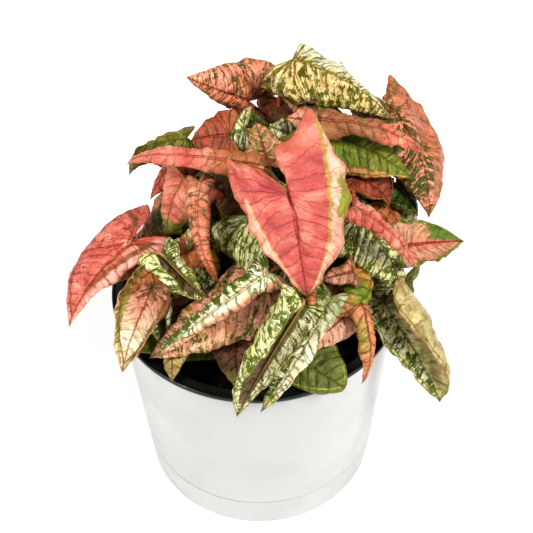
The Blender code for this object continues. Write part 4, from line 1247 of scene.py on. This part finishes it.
# %% Stalk material
def stalk_material():
    """The skin that all the stalks share."""
    made, tree, shader = new_material("stalk_skin")
    place = put("TexCoord", tree=tree).outputs["Object"]
    drawn = put("Mapping", (place,))
    drawn.inputs["Scale"].default_value = (2600, 2600, 160)
    fibres = noise(drawn.outputs[0], 1.0, 3.0)
    height = split(place)[2]
    low = step(height, 0.12, 0.2, 1.0, 0.0)
    blush = step(noise(place, 45.0), 0.4, 0.62)
    colour = mix(blush, paint(180, 158, 104), paint(196, 120, 96))
    colour = mix(times(low, 0.8), colour, paint(92, 84, 40))
    colour = mix(times(fibres, 0.35), colour, paint(92, 70, 40))
    link(colour, shader.inputs["Base Color"])
    link(maths("MULTIPLY_ADD", fibres, 0.2, 0.38), shader.inputs["Roughness"])
    add_bump(shader, fibres, 0.5, 0.0002)
    return made


stalk_skin = stalk_material()
print("stalk material:", stalk_skin.name)

# %% Grow the plant
seed = 0
triangles = 0
for stem, (root, leaves) in STEMS.items():
    grown = [make_stalks(stem, root, leaves)]
    grown[0].data.materials.append(stalk_skin)
    for shape in leaves:
        seed += 1
        grown.append(make_leaf(shape, seed))
    for piece in grown:
        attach(piece, "root")
        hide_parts("leafy_stem_" + stem)
        triangles += sum(len(face.vertices) - 2 for face in piece.data.polygons)
print(seed, "leaves grown,", triangles, "triangles")

# %% [markdown]
# ## The pots
# Both pots are round, so each is a profile turned about the middle. It could be spun or made with a
# Screw modifier. Here a circle is extruded ring by ring and each new ring is scaled, as one would do
# by hand, because every ring is then a height and a radius that can be read off the real pot.

# %% Extrude a round piece
def raise_rings(name, rings, sides):
    """A closed round piece through rings of (radius, height), from the first to the last."""
    bpy.ops.object.select_all(action="DESELECT")
    radius, height = rings[0]
    bpy.ops.mesh.primitive_circle_add(vertices=sides, radius=radius, location=(0, 0, height))
    piece = bpy.context.object
    piece.name = name
    bpy.ops.object.mode_set(mode="EDIT")
    bpy.ops.mesh.select_mode(type="EDGE")
    bpy.ops.mesh.select_all(action="SELECT")
    for new_radius, new_height in rings[1:]:
        lift = (0, 0, new_height - height)
        bpy.ops.mesh.extrude_edges_move(TRANSFORM_OT_translate={"value": lift})
        grow = new_radius / radius
        bpy.ops.transform.resize(value=(grow, grow, 1), center_override=(0, 0, new_height))
        radius, height = new_radius, new_height
    bpy.ops.mesh.select_all(action="SELECT")
    bpy.ops.mesh.fill_holes(sides=0)
    bpy.ops.mesh.select_all(action="SELECT")
    bpy.ops.mesh.normals_make_consistent(inside=False)
    bpy.ops.object.mode_set(mode="OBJECT")
    only(piece)
    bpy.ops.object.transform_apply(location=True, rotation=True, scale=True)
    bpy.ops.object.shade_smooth_by_angle(angle=math.radians(32))
    return piece


def arc(radius, height, size, start, stop, steps):
    """Rings on a rounded edge about (radius, height), angles in degrees."""
    angles = np.radians(np.linspace(start, stop, steps + 1))
    return [(radius + size * math.cos(a), height + size * math.sin(a)) for a in angles]


print("a rounded edge of 1 mm:", [(round(r, 2), round(h, 2)) for r, h in arc(0, 0, 1, 0, 90, 2)])

# %% [markdown]
# The white pot tapers a little toward its foot, which a fine seam marks off. Its rim is hidden under
# the nursery pot's lip, and its inside is smooth down to a flat floor.

# %% White pot
LIP_TOP = 0.130
LIP_RADIUS = 0.075
LIP_THICKNESS = 0.0027
GAP = 0.0003
OUTER_TOP = LIP_TOP - LIP_THICKNESS - GAP
OUTER_TOP_RADIUS = 0.0723
OUTER_BASE_RADIUS = 0.0645
OUTER_WALL = 0.0022
OUTER_FLOOR = 0.003
SEAM = 0.023
SEAM_DEPTH = 0.001
CENTRE_HOLE = 0.006  # the first and last rings are this wide, and are filled with one flat face
POT_SIDES = 160


def outer_radius(height):
    """Radius of the white pot's outside at a height."""
    return OUTER_BASE_RADIUS + (OUTER_TOP_RADIUS - OUTER_BASE_RADIUS) * height / OUTER_TOP


rim = OUTER_WALL / 2
pot_rings = [(CENTRE_HOLE, 0.0012), (0.052, 0.0012), (0.0535, 0.0)]
pot_rings += arc(OUTER_BASE_RADIUS - 0.0015, 0.0015, 0.0015, -90, 0, 5)
pot_rings += [(outer_radius(h), h) for h in (0.008, 0.015, SEAM - 0.0007)]
pot_rings += [(outer_radius(SEAM) - SEAM_DEPTH, h) for h in (SEAM - 0.0003, SEAM + 0.0003)]
pot_rings += [(outer_radius(h), h) for h in (SEAM + 0.0007, 0.03, 0.05, 0.075, 0.1, 0.12)]
pot_rings += arc(OUTER_TOP_RADIUS - rim, OUTER_TOP - rim, rim, 0, 180, 8)
pot_rings += [(outer_radius(h) - OUTER_WALL, h) for h in (0.1, 0.06, 0.02, 0.006)]
pot_rings += [(outer_radius(OUTER_FLOOR) - OUTER_WALL - 0.003, OUTER_FLOOR), (CENTRE_HOLE, OUTER_FLOOR)]
white_pot = raise_rings("white_pot", pot_rings, POT_SIDES)
print("white pot:", [round(v, 4) for v in white_pot.dimensions])

# %% [markdown]
# The plastic is satin white. Even new, such a pot isn't one flat value: the moulding leaves a faint
# orange-peel skin, handling leaves rubbed patches, and a little dust gathers at the seam and foot.

# %% Handled plastic group
plastic_group, entry, leave = new_group(
    "handled plastic", {"Place": None, "Peel": 900.0, "Rub": 28.0}, ("Skin", "Rubs", "Specks"))
link(noise(entry["Place"], entry["Peel"], 2.0, 0.5), leave["Skin"])
link(step(noise(entry["Place"], entry["Rub"], 5.0, 0.5), 0.42, 0.68), leave["Rubs"])
link(step(noise(entry["Place"], 520.0, 2.0), 0.66, 0.74), leave["Specks"])
print("plastic group nodes:", len(plastic_group.nodes))


def plastic_material(name, colour, worn, rough, peel_depth, dust, dust_low, dust_high):
    """Moulded plastic with rubbed patches and dust that thickens from dust_low up to dust_high."""
    made, tree, shader = new_material(name)
    place = put("TexCoord", tree=tree).outputs["Object"]
    marks = use_group(plastic_group, Place=place)
    height = split(place)[2]
    low = step(height, dust_low, dust_high, 1.0, 0.12)
    tint = mix(times(marks["Rubs"], 0.5), colour, worn)
    dusty = times(times(marks["Specks"], low), 0.45)
    link(mix(dusty, tint, dust), shader.inputs["Base Color"])
    sheen = maths("MULTIPLY_ADD", marks["Rubs"], 0.14, rough)
    link(sheen, shader.inputs["Roughness"])
    add_bump(shader, marks["Skin"], 0.3, peel_depth)
    return made


white_plastic = plastic_material(
    "white_satin_plastic", colour=paint(188, 188, 186), worn=paint(182, 182, 179), rough=0.3,
    peel_depth=0.00008, dust=paint(196, 190, 178), dust_low=0.0, dust_high=0.03)
white_pot.data.materials.append(white_plastic)
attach(white_pot, "root")
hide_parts("outer_pot")
print("white pot's material:", white_plastic.name)

# %% [markdown]
# The nursery pot is thin dark green plastic. Its lip is rolled over the white pot's rim and has a
# raised bead at each edge, with a shallow groove between them. Its floor has six drain holes, which a
# Boolean modifier cuts with small cylinders.

# %% Nursery pot
NURSERY_WALL = 0.0012
NURSERY_BASE = 0.012
NURSERY_CLEARANCE = 0.0010
DRAIN_HOLES = 6
DRAIN_CIRCLE = 0.036
DRAIN_RADIUS = 0.0045


def nursery_radius(height):
    """Outer radius of the nursery pot at a height."""
    return outer_radius(height) - OUTER_WALL - NURSERY_CLEARANCE


floor_top = NURSERY_BASE + NURSERY_WALL
neck = OUTER_TOP + GAP
inside = nursery_radius(neck) - NURSERY_WALL
nursery_rings = [(CENTRE_HOLE, NURSERY_BASE), (nursery_radius(NURSERY_BASE) - 0.001, NURSERY_BASE)]
nursery_rings += [(nursery_radius(h), h) for h in (NURSERY_BASE + 0.001, 0.05, 0.09, 0.12, neck)]
nursery_rings += [(LIP_RADIUS - 0.0007, neck), (LIP_RADIUS, neck + 0.0006), (LIP_RADIUS, LIP_TOP - 0.0012)]
nursery_rings += arc(LIP_RADIUS - 0.0008, LIP_TOP - 0.0008, 0.0008, 20, 110, 4)
nursery_rings += [(LIP_RADIUS - 0.0018, LIP_TOP - 0.0006), (LIP_RADIUS - 0.0028, LIP_TOP - 0.0006)]
nursery_rings += arc(inside + 0.0016, LIP_TOP - 0.0009, 0.0009, 70, 150, 4)
nursery_rings += [(inside, LIP_TOP - 0.002), (inside, neck)]
nursery_rings += [(nursery_radius(h) - NURSERY_WALL, h) for h in (0.12, 0.09, 0.05, floor_top + 0.001)]
nursery_rings += [(nursery_radius(floor_top) - NURSERY_WALL - 0.001, floor_top), (CENTRE_HOLE, floor_top)]
nursery = raise_rings("nursery_pot_skin", nursery_rings, POT_SIDES)
for index in range(DRAIN_HOLES):
    angle = 2 * math.pi * index / DRAIN_HOLES
    hole_place = (DRAIN_CIRCLE * math.cos(angle), DRAIN_CIRCLE * math.sin(angle), NURSERY_BASE)
    bpy.ops.mesh.primitive_cylinder_add(vertices=32, radius=DRAIN_RADIUS, depth=0.007, location=hole_place)
    drill = bpy.context.object
    hole = nursery.modifiers.new("drain", "BOOLEAN")
    hole.object = drill
    hole.operation = "DIFFERENCE"
    only(nursery)
    bpy.ops.object.modifier_apply(modifier="drain")
    bpy.data.objects.remove(drill)
dark_plastic = plastic_material(
    "dark_green_plastic", colour=paint(24, 31, 28), worn=paint(38, 47, 43), rough=0.2,
    peel_depth=0.00012, dust=paint(120, 112, 96), dust_low=0.13, dust_high=0.02)
nursery.data.materials.clear()
nursery.data.materials.append(dark_plastic)
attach(nursery, "root")
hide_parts("nursery_pot")
print("nursery pot:", [round(v, 4) for v in nursery.dimensions])

# %% [markdown]
# ## The soil
# Peat soil is nearly black when moist, crumbly, and flecked with fibres, bark and a few pale grains.
# A disc extruded in close rings has enough points to push about with noise, and crumbs and chips are
# small faceted lumps, modelled once and scattered over it.

# %% Soil body
SOIL_EDGE = 0.0015  # how far the surface falls away toward the wall
SOIL_LUMPS = ((71, 12.0, 0.9), (72, 5.0, 0.55), (73, 2.6, 0.35))  # seed, size and height of each noise
soil_wall = NURSERY_WALL + GAP
soil_low = NURSERY_BASE + NURSERY_WALL + GAP
soil_top_radius = nursery_radius(SOIL_TOP - SOIL_EDGE) - soil_wall
soil_rings = [(CENTRE_HOLE, soil_low), (nursery_radius(soil_low) - soil_wall, soil_low)]
soil_rings += [(soil_top_radius, SOIL_TOP - SOIL_EDGE)]
soil_rings += [(r, SOIL_TOP - SOIL_EDGE * (r / soil_top_radius) ** 2)
               for r in np.linspace(soil_top_radius - 0.0012, 0.0012, 56)]
soil = raise_rings("soil_bed", soil_rings, 144)


def soil_lumps(x, y):
    """Millimetres by which the soil stands above its even dome."""
    lumps = sum(ripples(x, y, seed, size) * height for seed, size, height in SOIL_LUMPS)
    return np.maximum(lumps - 0.2, -1.2)


places = read_points(soil.data)
inside_wall = np.hypot(places[:, 0], places[:, 1]) < soil_top_radius - 0.0005
top = (places[:, 2] > SOIL_TOP - 2 * SOIL_EDGE) & inside_wall
lumps = soil_lumps(places[top, 0] / MM, places[top, 1] / MM)
places[top, 2] += lumps * MM
write_points(soil.data, places)
soil.data.update()
print("soil lumps from", round(float(lumps.min()), 2), "to", round(float(lumps.max()), 2), "mm")

# %% Crumbs and chips
BITS_INSET = 2.5  # millimetres that the bits keep from the wall
SOIL_BITS = dict(crumb=dict(count=260, sizes=(0.5, 1.7), flat=1.0, seed=31),
                 chip=dict(count=60, sizes=(1.0, 3.0), flat=0.35, seed=32))


def soil_height(x, y):
    """Height of the soil's top at a place, in millimetres."""
    x, y = np.array([x]), np.array([y])
    fall = SOIL_EDGE * (np.hypot(x, y) * MM / soil_top_radius) ** 2
    return float((SOIL_TOP - fall)[0] / MM + soil_lumps(x, y)[0])


def scatter(name, count, sizes, flat, seed):
    """Copies of one faceted lump, each in its own size and turn, as one mesh."""
    rng = np.random.default_rng(seed)
    bpy.ops.mesh.primitive_ico_sphere_add(subdivisions=1, radius=1.0)
    lump = bpy.context.object
    lump.name = name
    bpy.ops.object.mode_set(mode="EDIT")
    bpy.ops.mesh.select_all(action="SELECT")
    bpy.ops.transform.vertex_random(offset=0.3, seed=seed)
    bpy.ops.object.mode_set(mode="OBJECT")
    points = read_points(lump.data)
    faces = np.array([f.vertices for f in lump.data.polygons])
    every_point, every_face = [], []
    for number in range(count):
        far = (soil_top_radius / MM - BITS_INSET) * math.sqrt(rng.uniform(0, 1))
        angle = rng.uniform(0, 2 * math.pi)
        x, y = far * math.cos(angle), far * math.sin(angle)
        size = rng.uniform(*sizes) * np.array((1, rng.uniform(0.5, 1), flat * rng.uniform(0.5, 1)))
        spin = turn(unit(rng.normal(size=3) * (0.3, 0.3, 1)), rng.uniform(0, 6.28))
        place = np.array((x, y, soil_height(x, y) + 0.2 * size[2]))
        every_face.append(faces + len(points) * number)
        every_point.append((points * size) @ spin.T + place)
    mesh = bpy.data.meshes.new(name)
    mesh.from_pydata((np.vstack(every_point) * MM).tolist(), [], np.vstack(every_face).tolist())
    lump.data = mesh
    return lump


bits = [scatter("soil_" + kind, **values) for kind, values in SOIL_BITS.items()]
print("soil bits:", [len(piece.data.polygons) for piece in bits], "faces")

# %% [markdown]
# Moist peat reflects almost nothing, so what shows is its relief: fine grain as bump, a shade of
# brown in the dry crumbs, and rare pale specks of lime and perlite.

# %% Soil material
def soil_material(name, dark, light, specks):
    """Dull soil with lighter clods; the higher the specks value, the fewer specks it has."""
    made, tree, shader = new_material(name)
    place = put("TexCoord", tree=tree).outputs["Object"]
    grain = noise(place, 900.0, 6.0, 0.7)
    clods = noise(place, 140.0, 4.0)
    colour = mix(step(clods, 0.4, 0.75), dark, light)
    bright = step(noise(place, 620.0, 1.0), specks, specks + 0.04)
    colour = mix(times(bright, 0.7), colour, paint(150, 136, 112))
    link(colour, shader.inputs["Base Color"])
    link(maths("MULTIPLY_ADD", clods, 0.4, 0.55), shader.inputs["Roughness"])
    add_bump(shader, grain, 1.0, 0.0006)
    shader.inputs["Specular IOR Level"].default_value = 0.3
    return made


peat = soil_material("moist_peat", paint(16, 11, 8), paint(44, 32, 24), 0.73)
bark = soil_material("bark_chips", paint(34, 24, 18), paint(92, 70, 52), 0.8)
soil.data.materials.append(peat)
bits[0].data.materials.append(peat)
bits[1].data.materials.append(bark)
for piece in [soil, *bits]:
    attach(piece, "root")
    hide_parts("soil")
print("soil materials:", peat.name, bark.name)
